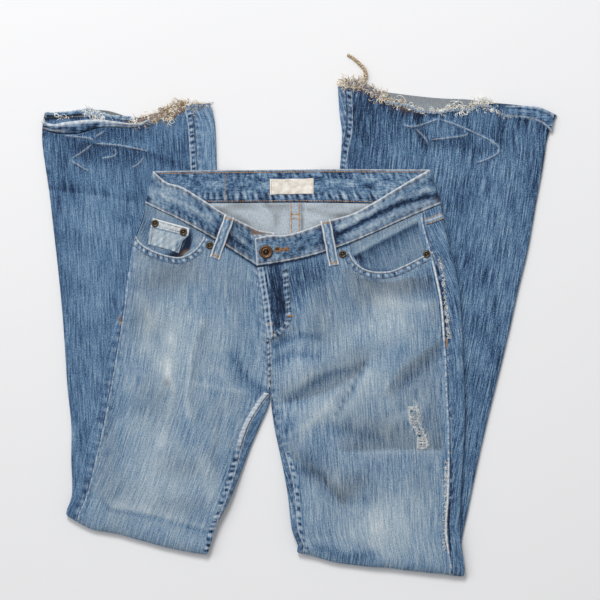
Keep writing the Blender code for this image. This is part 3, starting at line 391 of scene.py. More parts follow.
def front_face(x, y):
    """Height of the finished face of the thighs and hips."""
    return front_top(x, y) + fold_height(FRONT_CREASES, x, y)


def band_face(x, y):
    """Height of the front waistband's face: that of the hips without the fly, and a little more."""
    return front_top(x, y) - FLY_RAISE * fly_shape(x, y) + BAND_PROUD


def band_inside(x, y):
    """Height of the back waistband's inner face, which lies on the calves."""
    return bed(x, y) + BAND_THICK


def leg_rows(side, first_row=0.0, last_row=LAST_ROW):
    """Every mesh row of a leg between two places: borders, seams and the turn at the knee.

    over_front and around are the lengths of the cloth over the front, and over front and back.
    """
    thigh, calf = THIGH[side], CALF[side]
    turn = np.arange(1, FOLD_STEPS) * np.pi / FOLD_STEPS
    arc = (turn / np.pi)[:, None]

    def joined(top, below):
        """Rows of the thigh and of the calf, with the turn's rows evenly between them."""
        return np.concatenate([top, top[-1] * (1 - arc) + below[0] * arc, below])

    def down_leg(thigh_rows, calf_rows):
        """Two tables read at every mesh row."""
        return joined(read_rows(thigh_rows, THIGH_STATIONS), read_rows(calf_rows, CALF_STATIONS))

    def inner_line(centre):
        """The centre's line to the crotch, and the leg's inner border below it."""
        closed = [CENTRE[-1].front] + [row.inner for row in thigh[CROTCH_ROW + 1:]]
        above_crotch = THIGH_STATIONS[THIGH_STATIONS <= CROTCH_ROW]
        after = THIGH_STATIONS[THIGH_STATIONS > CROTCH_ROW]
        top = np.concatenate([read_rows(centre, above_crotch), read_rows(closed, after - CROTCH_ROW)])
        return joined(top, read_rows([row.inner for row in calf], CALF_STATIONS))

    seams = down_leg([(row.side_seam, row.inseam, k > CROTCH_ROW) for k, row in enumerate(thigh)],
                     [(row.side_seam, row.inseam, True) for row in calf])
    border = down_leg([row.side for row in thigh], [row.side for row in calf])
    place = np.concatenate([THIGH_STATIONS, FOLD_ROW + turn / np.pi, FIRST_CALF_ROW + CALF_STATIONS])
    below_crotch = place > CROTCH_ROW
    start = np.array(thigh[-1].side, float)
    line = np.array(thigh[-1].inner, float) - start
    line /= np.hypot(*line)
    rows = {
        "place": place,
        "side": border,
        "front": inner_line([centre.front for centre in CENTRE]),
        "back": inner_line([centre.back for centre in CENTRE]),
        "side_seam": seams[:, 0],
        "inseam": np.where(below_crotch, seams[:, 1], 0),
        "closed": np.clip(np.where(below_crotch, seams[:, 2], 0), 0, 1),
        "turn": np.concatenate([0 * THIGH_STATIONS, turn, np.pi + 0 * CALF_STATIONS]),
    }
    kept = (place >= first_row - 1e-6) & (place <= last_row + 1e-6)
    leg = SimpleNamespace(**{key: values[kept] for key, values in rows.items()})
    leg.name = side
    leg.hem_side = border[-1]
    leg.fold_out = TURN[side] * np.array([line[1], -line[0]])
    leg.over_front = np.hypot(*(leg.front - leg.side).T) - 2 * EDGE_RADIUS + 2 * EDGE_ARC
    leg.around = leg.over_front + np.hypot(*(leg.back - leg.side).T) - 2 * EDGE_RADIUS + 2 * EDGE_ARC
    return leg


def dip(leg, place, across):
    """How far a front row bows to the knee: the waist seam's bow and the pocket opening's."""
    bow, skew = WAIST_BOW[leg.name]
    above_hip = 1 - smoothstep(0, HIP_ROW, place)
    waist = bow * np.sin(np.pi * np.clip(across, 0, 1) ** skew) * above_hip
    width = np.hypot(*(leg.front - leg.side).T)[:, None]
    rim = POCKET_EDGE[leg.name][-1] / width
    near_row = np.clip(1 - np.abs(place - POCKET_ROW) / 1.5, 0, 1)
    seam = leg.side_seam[:, None].clip(0) / width
    share = np.clip((across - seam) / (rim - seam), 0, 1)
    return waist + POCKET_BOW[leg.name] * np.sin(np.pi * share) * near_row


def ring_points(leg, along, depth):
    """Places on a leg's flattened ring, as a function of cloth length along and depth.

    Each row is a quarter ellipse at either border and two flat faces between them, and its
    upward direction turns over by half a circle at the knee.
    """
    over_front, around = leg.over_front[:, None], leg.around[:, None]
    along = np.mod(along, around)
    on_front_side = along <= over_front
    length = np.where(on_front_side, over_front, around - over_front)
    run = np.where(on_front_side, along, around - along)
    near = np.clip(run / EDGE_ARC, 0, 1) * np.pi / 2
    far = np.clip((length - run) / EDGE_ARC, 0, 1) * np.pi / 2
    closed = leg.closed[:, None]
    flat = np.clip(run - EDGE_ARC, 0, length - 2 * EDGE_ARC)
    inner_end = closed * np.cos(far) + (1 - closed) * (1 - far * 2 / np.pi)
    reach = EDGE_RADIUS * (1 - np.cos(near)) + flat + EDGE_RADIUS * inner_end
    reach = reach + depth * (np.cos(near) - closed * np.cos(far))
    rise = np.sin(near) * (1 - closed * (1 - np.sin(far)))

    side = leg.side[:, None]
    target = np.where(on_front_side[..., None], leg.front[:, None], leg.back[:, None])
    width = np.linalg.norm(target - side, axis=2)
    way = (target - side) / width[..., None]
    xy = side + way * reach[..., None]
    across = reach / width
    knee_way = TURN[leg.name] * np.stack([way[..., 1], -way[..., 0]], axis=2)
    place = leg.place[:, None]
    xy = xy + knee_way * (dip(leg, place, across) * on_front_side)[..., None]
    from_hem = np.hypot(*(leg.side - leg.hem_side).T)[:, None]
    near_hem = (place >= HEM_ROWS) * (1 - smoothstep(0, HEM_FADE, from_hem))
    edges = [read_edge(HEM_EDGE[leg.name], across, column) for column in ("front", "back")]
    xy = xy - knee_way * (np.where(on_front_side, *edges) * near_hem)[..., None]

    x, y = plan(xy)
    turn = leg.turn[:, None]
    turned_over = (1 - np.cos(turn)) / 2
    high = bed(x, y) + THIGH_HEIGHT / 2
    low = calf_top(x, y) / 2
    half = (THIGH_HEIGHT * (1 - turned_over) + calf_top(x, y) * turned_over) / 2
    face = np.where(on_front_side, 1, -1) * rise
    off = face * (half - depth)
    out = np.sin(turn) * (off + FOLD_REACH + read_edge(FOLD_BULGE[leg.name], across, "out"))
    z = (high + low) / 2 + np.cos(turn) * ((high - low) / 2 + off)
    raised = front_top(x, y) - bed(x, y) - THIGH_HEIGHT
    z = z + np.clip(np.cos(turn), 0, 1) * np.clip(face, 0, 1) * raised
    return at_height(xy + leg.fold_out * out[..., None], z)


def columns(knots, counts, least=0.3):
    """Places along each row: the knots in order, with even steps between them."""
    knots = np.stack(np.broadcast_arrays(*knots), axis=1).astype(float)
    for k in range(1, knots.shape[1] - 1):
        knots[:, k] = np.maximum(knots[:, k], knots[:, k - 1] + least * counts[k - 1])
    for k in range(knots.shape[1] - 2, 0, -1):
        knots[:, k] = np.minimum(knots[:, k], knots[:, k + 1] - least * counts[k])
    steps = [
        knots[:, [k]] + (knots[:, [k + 1]] - knots[:, [k]]) * np.arange(n) / n
        for k, n in enumerate(counts)
    ]
    return np.concatenate(steps + [knots[:, [-1]]], axis=1)


def pocket_edge(leg):
    """Cloth length from the side to the pocket's edge, and below it to a line down the thigh."""
    edge = POCKET_EDGE[leg.name]
    beside = np.interp(leg.place, np.arange(len(edge)) / 2, edge)
    share = smoothstep(POCKET_ROW, CROTCH_ROW, leg.place)
    return beside * (1 - share) + POCKET_LINE_SHARE * leg.over_front * share


# ---------------------------------------------------------------- materials


def srgb(red, green, blue):
    """A colour from its 8-bit screen values, as linear values with alpha."""
    value = np.array([red, green, blue]) / 255
    linear = np.where(value <= 0.04045, value / 12.92, ((value + 0.055) / 1.055) ** 2.4)
    return (*linear.tolist(), 1.0)


class Look:
    """A material, and short ways to add nodes to it; an input is a number or another's output."""

    def __init__(self, name, roughness, metallic=0.0, specular=0.3, sheen=0.0):
        self.material = bpy.data.materials.new(name)
        self.material.use_nodes = True
        self.tree = self.material.node_tree
        self.surface = self.tree.nodes["Principled BSDF"]
        self.fill(self.surface, {"Roughness": roughness, "Metallic": metallic,
                                 "Specular IOR Level": specular, "Sheen Weight": sheen})

    def fill(self, node, inputs):
        """Each input set to its value, or linked where it is another node's output."""
        for socket, given in inputs.items():
            if hasattr(given, "is_output"):
                self.tree.links.new(given, node.inputs[socket])
            else:
                node.inputs[socket].default_value = given

    def add(self, kind, output, inputs, **settings):
        """One output of a new node with its inputs and settings."""
        node = self.tree.nodes.new("ShaderNode" + kind)
        for key, value in settings.items():
            setattr(node, key, value)
        self.fill(node, inputs)
        return node.outputs[output]

    def calc(self, operation, first, second=0.0, clamp=False):
        """A sum, product or other operation on two numbers."""
        return self.add("Math", 0, {0: first, 1: second}, operation=operation, use_clamp=clamp)

    def plus(self, first, second):
        """The sum of two numbers."""
        return self.calc("ADD", first, second)

    def times(self, first, second, clamp=False):
        """The product of two numbers."""
        return self.calc("MULTIPLY", first, second, clamp)

    def about_zero(self, part):
        """A pattern about 0.5, moved to lie about 0."""
        return self.calc("SUBTRACT", part, 0.5)

    def value(self, name):
        """A value set at each point of the mesh."""
        return self.add("Attribute", "Fac", {}, attribute_name=name)

    def noise(self, vector, scale, detail=2.0, roughness=0.5):
        """Noise stretched by its own scale along each axis, about 0.5."""
        place = self.add("Mapping", "Vector", {"Scale": scale, "Vector": vector})
        return self.add("TexNoise", "Fac", {"Scale": 1.0, "Detail": detail, "Roughness": roughness,
                                            "Vector": place})

    def object_noise(self, scale, detail=2.0):
        """Noise of one scale along all the axes of the piece itself."""
        return self.noise(self.add("TexCoord", "Object", {}), (scale, scale, scale), detail)

    def mix(self, factor, first, second):
        """A blend from the first colour to the second by a factor."""
        return self.add("Mix", 2, {0: factor, 6: first, 7: second}, data_type="RGBA")

    def ramp(self, factor, *stops):
        """A colour read off a row of stops, each a place and its screen colour."""
        colour = self.add("ValToRGB", "Color", {"Fac": factor})
        elements = colour.node.color_ramp.elements
        while len(elements) < len(stops):
            elements.new(0.5)
        for element, (place, tone) in zip(elements, stops):
            element.position = place
            element.color = srgb(*tone)
        return colour

    def finish(self, colour, height=None, strength=0.0, distance=0.0):
        """The surface's colour and its bumps, and the finished material."""
        self.fill(self.surface, {"Base Color": colour})
        if height is not None:
            inputs = {"Strength": strength, "Distance": distance, "Height": height}
            normal = self.add("Bump", "Normal", inputs)
            self.fill(self.surface, {"Normal": normal})
        return self.material


def denim_material():
    """Streaky indigo denim: pale warp streaks run down the cloth, over a fading set at each point; painted
    light and shade ride on the fading, greying and whitening.
    """
    look = Look("streaky_denim", 0.9, specular=0.15, sheen=0.08)
    plus, times = look.plus, look.times
    uv = look.add("UVMap", "UV", {}, uv_map="grain")
    broad = look.noise(uv, (230.0, 12.0, 1.0), 2.0, 0.6)
    streak = look.noise(uv, (640.0, 30.0, 1.0), 2.0, 0.6)
    slub = look.noise(uv, (1200.0, 150.0, 1.0), 2.0, 0.7)
    cloud = look.noise(uv, (30.0, 22.0, 1.0), 3.0, 0.6)
    grain = look.noise(uv, (900.0, 650.0, 1.0), 1.0, 0.6)
    streaks, mottles = 0.0, 0.0
    for part, amount in ((broad, 0.16), (streak, 1.1), (slub, 0.62)):
        streaks = plus(times(look.about_zero(part), amount), streaks)
    for part, amount in ((cloud, 0.3), (grain, 0.8)):
        mottles = plus(times(look.about_zero(part), amount), mottles)
    # The rumples raise the bump, and the same noise pales the colour on their tops and darkens it in their
    # hollows: painted light and shade.
    rumple = look.noise(uv, (190.0, 90.0, 1.0), 3.0, 0.65)
    rumpled = times(look.about_zero(rumple), look.value("rumpled"))
    mottles = plus(mottles, times(rumpled, 0.9))
    fade = look.value("fade")
    strength = times(look.calc("SUBTRACT", 1.3, fade), plus(look.value("streaky"), 1.0))
    shade = plus(plus(fade, times(streaks, strength)), mottles)
    face = look.ramp(shade, (0.0, (24, 38, 62)), (0.2, (62, 90, 124)), (0.4, (101, 134, 166)),
                     (0.6, (147, 169, 188)), (0.8, (184, 199, 209)), (1.0, (228, 233, 234)))
    wrong = look.ramp(plus(times(slub, 0.5), times(grain, 0.5)),
                      (0.3, (136, 150, 168)), (0.5, (180, 191, 200)), (0.7, (214, 220, 224)))
    colour = look.mix(look.value("inside"), face, wrong)
    # Greying by a value at each point: partly the cloth's own greying, partly painted shade.
    grey_shaded = look.add("HueSaturation", "Color", {"Saturation": 0.5, "Value": 0.34, "Color": colour})
    colour = look.mix(look.value("grey_and_shade"), colour, grey_shaded)
    rough = plus(times(slub, 1.2), 0.4)
    # Whitening: worn cloth, and in a few places painted highlights on crease and lump tops.
    colour = look.mix(times(look.value("wear_and_highlight"), rough, clamp=True), colour, srgb(229, 231, 231))
    colour = look.mix(times(look.value("tan"), rough, clamp=True), colour, srgb(158, 128, 96))
    slant = plus(look.add("SeparateXYZ", "X", {0: uv}), times(look.add("SeparateXYZ", "Y", {0: uv}), 0.8))
    twill = look.calc("SINE", times(slant, 7400.0))
    height = plus(times(slub, 1.5), times(twill, 0.2))
    height = plus(plus(height, times(streak, 1.2)), times(rumpled, 3.0))
    return look.finish(colour, height, 0.5, 0.0005)


def thread_material(name, dark, light):
    """Cotton thread whose colour drifts between two tones."""
    look = Look(name, 0.85, specular=0.2)
    colour = look.ramp(look.object_noise(260.0, 3.0), (0.35, dark), (0.65, light))
    return look.finish(colour, look.object_noise(2600.0), 0.3, 0.0002)


def fray_material():
    """Loose thread ends, from near white to tan by a value set on each thread."""
    look = Look("loose_thread", 0.95, specular=0.1)
    drift = look.times(look.about_zero(look.object_noise(300.0)), 0.5)
    return look.finish(look.ramp(
        look.plus(look.value("tan"), drift), (0.0, (238, 240, 238)), (0.35, (226, 216, 198)),
        (0.65, (204, 182, 150)), (0.85, (160, 138, 110)), (1.0, (112, 98, 82))))


def metal_material(name, dark, light, roughness):
    """Aged metal in two tones, darkened by a value set at each point: partly grime, partly painted shade in
    its hollows and at its foot.
    """
    look = Look(name, roughness, 0.85, 0.5)
    tone = look.object_noise(900.0, 3.0)
    colour = look.mix(look.value("grime_and_shade"), look.ramp(tone, (0.35, dark), (0.65, light)), srgb(30, 22, 18))
    return look.finish(colour, tone, 0.25, 0.0003)


def label_material():
    """Undyed tape: a fine weave over broad pale stains."""
    look = Look("label_tape", 0.85, specular=0.2, sheen=0.1)
    weave = look.object_noise(1800.0)
    tone = look.plus(look.times(weave, 0.5), look.times(look.object_noise(170.0, 3.0), 0.7))
    return look.finish(look.ramp(tone, (0.42, (204, 192, 180)), (0.7, (240, 236, 226))), weave, 0.4, 0.0002)


def floor_material():
    """A plain near-white floor with a hardly visible drift."""
    look = Look("plain_floor", 0.9, specular=0.1)
    return look.finish(look.ramp(look.object_noise(1.3), (0.2, (238, 238, 239)), (0.8, (242, 242, 243))))


DENIM_LOOK = denim_material()
ORANGE = thread_material("orange_thread", (150, 110, 66), (206, 164, 108))
BROWN = thread_material("buttonhole_thread", (84, 56, 36), (170, 124, 80))
DUSK = thread_material("worn_thread", (96, 96, 104), (160, 146, 126))
LABEL_LOOK = label_material()
PALE_THREAD = thread_material("pale_thread", (168, 150, 122), (214, 198, 168))
WHITE = thread_material("weft_thread", (206, 208, 206), (244, 246, 244))
FRAY = fray_material()
COPPER = metal_material("aged_copper", (66, 48, 38), (132, 102, 78), 0.46)
BRASS = metal_material("aged_brass", (54, 48, 42), (116, 102, 84), 0.42)


# ---------------------------------------------------------------- meshes


def shell_faces(rows, cols, keep):
    """Quads of the closed wall between two grids: both faces, and its edge round what is kept."""
    index = np.arange(rows * cols).reshape(rows, cols)
    a, b, c, d = index[:-1, :-1], index[1:, :-1], index[1:, 1:], index[:-1, 1:]
    below = rows * cols
    top = np.stack([a, b, c, d], axis=-1)[keep]
    parts = [top, top[:, ::-1] + below]
    ringed = np.pad(keep, 1)
    beside = (((0, -1), a, b), ((1, 0), b, c), ((0, 1), c, d), ((-1, 0), d, a))
    for (dr, dc), p, q in beside:
        there = ringed[1 + dr: rows + dr, 1 + dc: cols + dc]
        edge = keep & ~there
        parts.append(np.stack([q[edge], p[edge], p[edge] + below, q[edge] + below], axis=-1))
    return np.concatenate(parts)


def linked(name, data):
    """A new object in the scene."""
    made = bpy.data.objects.new(name, data)
    bpy.context.scene.collection.objects.link(made)
    return made


def stand_for(made, node):
    """A piece that takes the place of a solid."""
    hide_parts(node)


def mesh_object(name, points, faces, material, looks=None, uv=None, smooth_angle=1.0):
    """A mesh from arrays: points in millimetres, quads or triangles, values for each point."""
    points = np.asarray(points, float) * MM
    points[:, 2] = np.maximum(points[:, 2], 0)  # nothing sinks into the floor
    faces = np.asarray(faces, np.int64)
    corner = points[faces]
    volume = np.einsum("ij,ij->i", corner[:, 0], np.cross(corner[:, 1], corner[:, 2])).sum()
    if faces.shape[1] == 4:
        volume += np.einsum("ij,ij->i", corner[:, 0], np.cross(corner[:, 2], corner[:, 3])).sum()
    if volume < 0:
        faces = faces[:, ::-1]
    used, numbers = np.unique(faces, return_inverse=True)
    faces = numbers.reshape(faces.shape)
    mesh = bpy.data.meshes.new(name)
    mesh.vertices.add(len(used))
    mesh.vertices.foreach_set("co", points[used].astype(np.float32).ravel())
    mesh.loops.add(faces.size)
    mesh.loops.foreach_set("vertex_index", faces.astype(np.int32).ravel())
    mesh.polygons.add(len(faces))
    starts = np.arange(len(faces)) * faces.shape[1]
    mesh.polygons.foreach_set("loop_start", starts.astype(np.int32))
    mesh.polygons.foreach_set("loop_total", np.full(len(faces), faces.shape[1], np.int32))
    mesh.update(calc_edges=True)
    for key, values in (looks or {}).items():
        layer = mesh.attributes.new(key, "FLOAT", "POINT")
        layer.data.foreach_set("value", np.asarray(values, np.float32).ravel()[used])
    if uv is not None:
        layer = mesh.uv_layers.new(name="grain")
        layer.data.foreach_set("uv", (uv[used] * MM)[faces.ravel()].astype(np.float32).ravel())
    mesh.materials.append(material)
    mesh.shade_smooth()
    mesh.set_sharp_from_angle(angle=smooth_angle)
    made = linked(name, mesh)
    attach(made, "root")
    return made


def cloth(name, outer, inner, grain, looks, node=None, keep=None, material=DENIM_LOOK):
    """A closed thin shell between two grids; grain is its place in the denim's pattern.

    Each look is one grid or an outer and inner pair. A node names the solid it stands for.
    """
    size = outer.shape[:2]
    keep = np.ones((size[0] - 1, size[1] - 1), bool) if keep is None else keep
    points = np.concatenate([outer.reshape(-1, 3), inner.reshape(-1, 3)])
    values = {}
    for key, value in looks.items():
        pair = value if isinstance(value, tuple) else (value, value)
        values[key] = np.concatenate([np.broadcast_to(v, size).ravel() for v in pair])
    uv = np.stack([np.broadcast_to(part, size) for part in grain], axis=-1).reshape(-1, 2)
    made = mesh_object(name, points, shell_faces(*size, keep), material, values, np.concatenate([uv, uv]))
    if node:
        stand_for(made, node)


def lengths_down(grid):
    """Cloth length down each column of a grid, from its first row."""
    step = np.linalg.norm(np.diff(grid, axis=0), axis=2)
    return np.concatenate([np.zeros((1, grid.shape[1])), np.cumsum(step, axis=0)])


def smooth_line(points, step):
    """Places every step along the cubic curve through points."""
    points = np.asarray(points, float)
    fine = read_rows(points, np.linspace(0, len(points) - 1, 40 * len(points)))
    run = np.concatenate([[0], np.cumsum(np.linalg.norm(np.diff(fine, axis=0), axis=1))])
    count = max(2, int(round(run[-1] / step)) + 1)
    at = np.linspace(0, run[-1], count)
    return np.stack([np.interp(at, run, fine[:, k]) for k in range(points.shape[1])], axis=1)


def line_sides(line):
    """The direction along a line in plan, and the direction to its left."""
    along = np.gradient(line[:, :2], axis=0)
    along /= np.linalg.norm(along, axis=1, keepdims=True)
    return along, np.stack([-along[:, 1], along[:, 0]], axis=1)


def wobble(s, period, seed):
    """A smooth uneven wave between -1 and 1 along a length."""
    a = np.sin(2 * np.pi * s / period + seed + 0.9 * np.sin(2 * np.pi * s / (3.3 * period) + seed))
    b = np.sin(2 * np.pi * s / (1.73 * period) + 2.1 * seed)
    return 0.68 * a + 0.32 * b


def tube_walls(index):
    """Quads between neighbouring rings of point numbers, which close on themselves."""
    after = np.roll(index, -1, axis=-1)
    walls = [index[..., :-1, :], after[..., :-1, :], after[..., 1:, :], index[..., 1:, :]]
    return np.stack(walls, axis=-1).reshape(-1, 4)


THREAD_FLOOR = 0.35


def strands(name, roots, ways, lengths, width, curl, material, seed, tan=None, rings=7, loops=0.6):
    """Three-sided threads: each runs its way while it winds round by a growing curl, and tapers."""
    chance = np.random.default_rng(seed)
    count = len(roots)
    t = np.linspace(0, 1, rings)
    phase = chance.uniform(0, 2 * np.pi, (count, 2))
    turns = loops * chance.uniform(0.5, 1.8, (count, 1))
    ways = ways / np.linalg.norm(ways, axis=1, keepdims=True)
    beside = np.stack([-ways[:, 1], ways[:, 0], 0 * ways[:, 0]], axis=1)
    curl = curl[:, None]
    wound = 2 * np.pi * turns * t + phase[:, :1]
    sway = curl * (np.sin(wound) - np.sin(phase[:, :1]))
    bow = curl * (np.cos(wound) - np.cos(phase[:, :1]))
    lift = 0.35 * curl * np.sin(2 * np.pi * turns * t * 1.3 + phase[:, 1:]) * t
    middle = roots[:, None, :] + ways[:, None, :] * (lengths[:, None] * t)[..., None]
    growth = np.minimum(1, 2 * t)
    middle = middle + beside[:, None, :] * (sway * growth)[..., None]
    middle = middle + ways[:, None, :] * (bow * growth)[..., None]
    middle[..., 2] = np.maximum(middle[..., 2] + lift, THREAD_FLOOR)
    ahead = np.gradient(middle, axis=1)
    ahead /= np.linalg.norm(ahead, axis=2, keepdims=True)
    side = np.cross(ahead, (0.0, 0.0, 1.0))
    side /= np.maximum(np.linalg.norm(side, axis=2, keepdims=True), 1e-6)
    upward = np.cross(side, ahead)
    half = width[:, None] * (1 - 0.55 * t) / 2
    angle = np.array([0, 2 * np.pi / 3, 4 * np.pi / 3])[:, None]
    outwards = side[:, :, None, :] * np.cos(angle) + upward[:, :, None, :] * np.sin(angle)
    points = middle[:, :, None, :] + outwards * half[..., None, None]
    index = np.arange(count * rings * 3).reshape(count, rings, 3)
    walls = tube_walls(index)
    faces = np.concatenate([walls[:, [0, 1, 2]], walls[:, [0, 2, 3]], index[:, 0, ::-1], index[:, -1]])
    looks = {} if tan is None else {"tan": np.repeat(tan, rings * 3)}
    return mesh_object(name, points.reshape(-1, 3), faces, material, looks)


# Each row: its place along a stitch, its half width and its height
STITCH_SHAPE = np.array([[-0.5, 0.0, 0.15], [-0.38, 0.75, 0.7], [0.0, 1.0, 1.0], [0.38, 0.75, 0.7],
                         [0.5, 0.0, 0.15]])


def stitch_arrays(line, surface, length, gap, width, lift):
    """Points and quads of one row of stitches: each is a low bead along the line."""
    even = smooth_line(line, length + gap)
    along, left = line_sides(even)
    centre = (even[:-1, :2] + even[1:, :2]) / 2
    along, left = along[:-1], left[:-1]
    place = centre[:, None, :] + along[:, None, :] * (STITCH_SHAPE[:, 0] * length)[:, None]
    offsets = np.array([-1.0, -0.5, 0.5, 1.0])
    crown = np.array([0.0, 0.9, 0.9, 0.0])
    half = STITCH_SHAPE[:, 1] * width / 2 + 0.08
    xy = place[:, :, None, :] + left[:, None, None, :] * (half[:, None] * offsets)[..., None]
    points = at_height(xy, surface(*plan(xy)) - 0.15 + (lift * STITCH_SHAPE[:, 2])[:, None] * crown)
    index = np.arange(len(points) * 20).reshape(-1, 5, 4)
    top = np.stack([index[:, :-1, :-1], index[:, 1:, :-1], index[:, 1:, 1:], index[:, :-1, 1:]], -1)
    under = np.stack([index[:, :-1, 0], index[:, :-1, 3], index[:, 1:, 3], index[:, 1:, 0]], -1)
    faces = np.concatenate([top.reshape(-1, 4), under.reshape(-1, 4), index[:, 0], index[:, 4, ::-1]])
    return points.reshape(-1, 3), faces


def join_arrays(parts):
    """Several point and face arrays as one."""
    points, faces, start = [], [], 0
    for p, f in parts:
        points.append(p)
        faces.append(f + start)
        start += len(p)
    return np.concatenate(points), np.concatenate(faces)


# ---------------------------------------------------------------- fades, wear and painted shade

Tone = namedtuple("Tone", "x y along across tilt amount")  # tilt: degrees the long way leans off Y
THIGH_BASE, CALF_BASE, UNDER_BASE, GREY_BASE = 0.52, 0.3, 0.42, 0.1
# Thigh tones: the pale ones are faded cloth, and the dark ones mostly painted shade beside the fly, the
# pockets, the crotch and the legs' borders.
THIGH_TONES = table(
    Tone,
    (-164, -60, 30, 22, -8, 0.18), (-166, -62, 12, 8, -8, 0.15), (-160, -30, 9, 7, 0, 0.14),
    (-160, -30, 20, 16, 0, 0.06), (-176, -190, 60, 34, -12, 0.18), (-165, -8, 34, 34, -8, 0.1),
    (-72, -62, 62, 20, -22, -0.05), (-102, -34, 36, 26, -10, 0.1), (-240, -90, 90, 10, -12, -0.08),
    (-200, 20, 50, 12, -12, -0.02), (-216, -238, 18, 30, 0, 0.14), (-60, 10, 40, 16, -10, -0.08),
    (-150, -262, 12, 60, 80, 0.03), (-104, -148, 30, 14, 0, 0.08), (112, 2, 26, 34, 80, 0.18),
    (110, -262, 36, 50, 0, 0.2), (60, -36, 34, 24, 0, 0.1), (13, -121, 26, 22, 60, 0.12),
    (91, -84, 22, 18, 50, 0.16), (46, -112, 20, 16, 0, 0.08), (1, -156, 24, 14, 0, 0.08),
    (190, -20, 90, 8, 0, -0.08), (-4, -60, 24, 20, 0, 0.08), (-25, 10, 46, 14, -8, -0.2),
    (-28, -12, 14, 10, 0, -0.2), (18, -178, 22, 30, 90, -0.12), (100, -286, 12, 30, 90, 0.12),
    (12, 52, 22, 26, 0, -0.34), (-6, 28, 24, 12, 0, -0.2), (156, 46, 16, 26, 70, -0.2),
    (188, -230, 70, 10, 0, -0.1), (-84, -225, 54, 9, -25, -0.14), (-14, -140, 24, 8, 20, -0.2),
    (-6, -195, 24, 8, 15, -0.12), (90, 46, 18, 5, 80, -0.14), (96, -314, 8, 70, 2, -0.1),
    (40, -170, 30, 20, 20, 0.02), (96, 48, 10, 30, 80, -0.08),
)
# Greyer, darker patches on the fronts: mostly painted shade where the cloth tilts away from the light, and a
# little greyer cloth.
GREY_AND_SHADE_TONES = table(
    Tone,
    (-165, 46, 44, 17, 84, 0.45), (-195, -4, 30, 24, 0, 0.3), (-112, -48, 42, 18, -18, 0.06),
    (-186, -108, 30, 22, -10, 0.2), (-149, -190, 34, 16, 80, 0.2), (-236, -160, 80, 14, -12, 0.14),
    (-150, -236, 44, 12, 78, 0.14), (-90, 40, 26, 26, 0, 0.12), (29, -86, 46, 12, 67, 0.12),
    (151, -66, 34, 15, 43, 0.2), (107, -142, 56, 22, 104, 0.16), (-166, -84, 6, 3.5, 20, 0.5),
    (-158, -98, 4, 3, 0, 0.3), (-171, -97, 6, 2.5, 40, 0.25), (60, -219, 28, 14, 48, 0.34),
    (22, -204, 26, 9, 128, 0.3), (150, -209, 30, 20, 0, 0.14), (82, 30, 30, 22, 60, 0.34),
    (26, -16, 26, 24, 50, 0.24), (24, 30, 30, 20, 0, 0.2), (140, 36, 40, 12, 76, 0.36),
    (172, 20, 40, 12, 0, 0.24), (165, -120, 26, 10, 0, 0.15), (-245, -200, 70, 14, -12, 0.14),
    (90, -212, 30, 20, 0, 0.1),
)
# Calf tones: the pale ones are faded cloth, and the dark ones mostly painted shade under the frayed hems,
# beside the creases and along the borders.
CALF_TONES = table(
    Tone,
    (-262, 141, 8, 30, 90, 0.08), (-189, 190, 20, 10, 0, 0.1), (150, 250, 5, 34, 84, -0.26),
    (252, 237, 7, 22, 100, -0.22), (190, 212, 8, 24, 90, 0.1), (200, 140, 30, 26, 0, -0.12),
    (304, 195, 34, 10, 0, -0.12), (210, 74, 20, 16, 0, -0.1), (58, 246, 20, 10, 0, -0.16),
    (-306, 248, 18, 3.2, 84, -0.5), (-283, 247, 8, 2.5, 84, -0.3), (-265, 203, 12, 24, 0, -0.16),
    (-225, 196, 12, 26, 0, -0.14), (-225, 222, 8, 34, 0, -0.14), (-170, 205, 26, 30, 0, -0.1),
    (-285, 212, 8, 16, 0, -0.1), (190, 214, 10, 30, 0, -0.12), (160, 224, 8, 18, 0, -0.1),
    (225, 205, 8, 18, 0, -0.08), (80, 250, 34, 26, 0, -0.2), (200, 225, 24, 60, 84, -0.08),
    (120, 262, 10, 40, 100, -0.12), (-255, 60, 190, 26, 0, 0.06), (-225, 170, 60, 40, 0, 0.04),
    (-290, 226, 14, 30, 84, 0.12), (-180, 215, 20, 50, 84, 0.05), (-308, 0, 220, 10, 3, -0.08),
    (215, 120, 110, 40, -12, 0.05), (180, 228, 14, 70, 84, 0.07), (298, 110, 130, 8, -10, -0.06),
    (250, -60, 120, 14, -12, -0.08), (80, 210, 60, 20, -6, -0.05),
)

Shadow = namedtuple("Shadow", "points width amount")  # dark to the left of the line's direction
THIGH_SHADOWS = table(
    Shadow,
    ([(62, -170), (118, -168), (174, -168)], 34, 0.42),
    ([(-12, -109), (29, -98), (72, -75), (83, -62)], 18, 0.44),
    ([(176, -31), (151, -50), (126, -69), (110, -91)], 19, 0.4),
    ([(-18, -172), (7, -187), (29, -206), (51, -234)], 17, 0.36),
    ([(-36, -36), (-20, -31), (-6, -20)], 9, 0.34), ([(47, -125), (62, -98), (78, -68)], 5, 0.3),
    ([(-121, -9), (-131, -40), (-139, -97), (-135, -127)], 9, 0.3),
    ([(-104, -198), (-102, -165), (-95, -110)], 8, 0.26),
    ([(-108, -279), (-162, -262), (-199, -252), (-238, -242)], 3, 0.22),
    ([(140, 46), (110, 41), (80, 46), (62, 58)], 12, 0.4),
    ([(-120, 84), (-140, 66), (-170, 64), (-200, 80)], 10, 0.34),
)
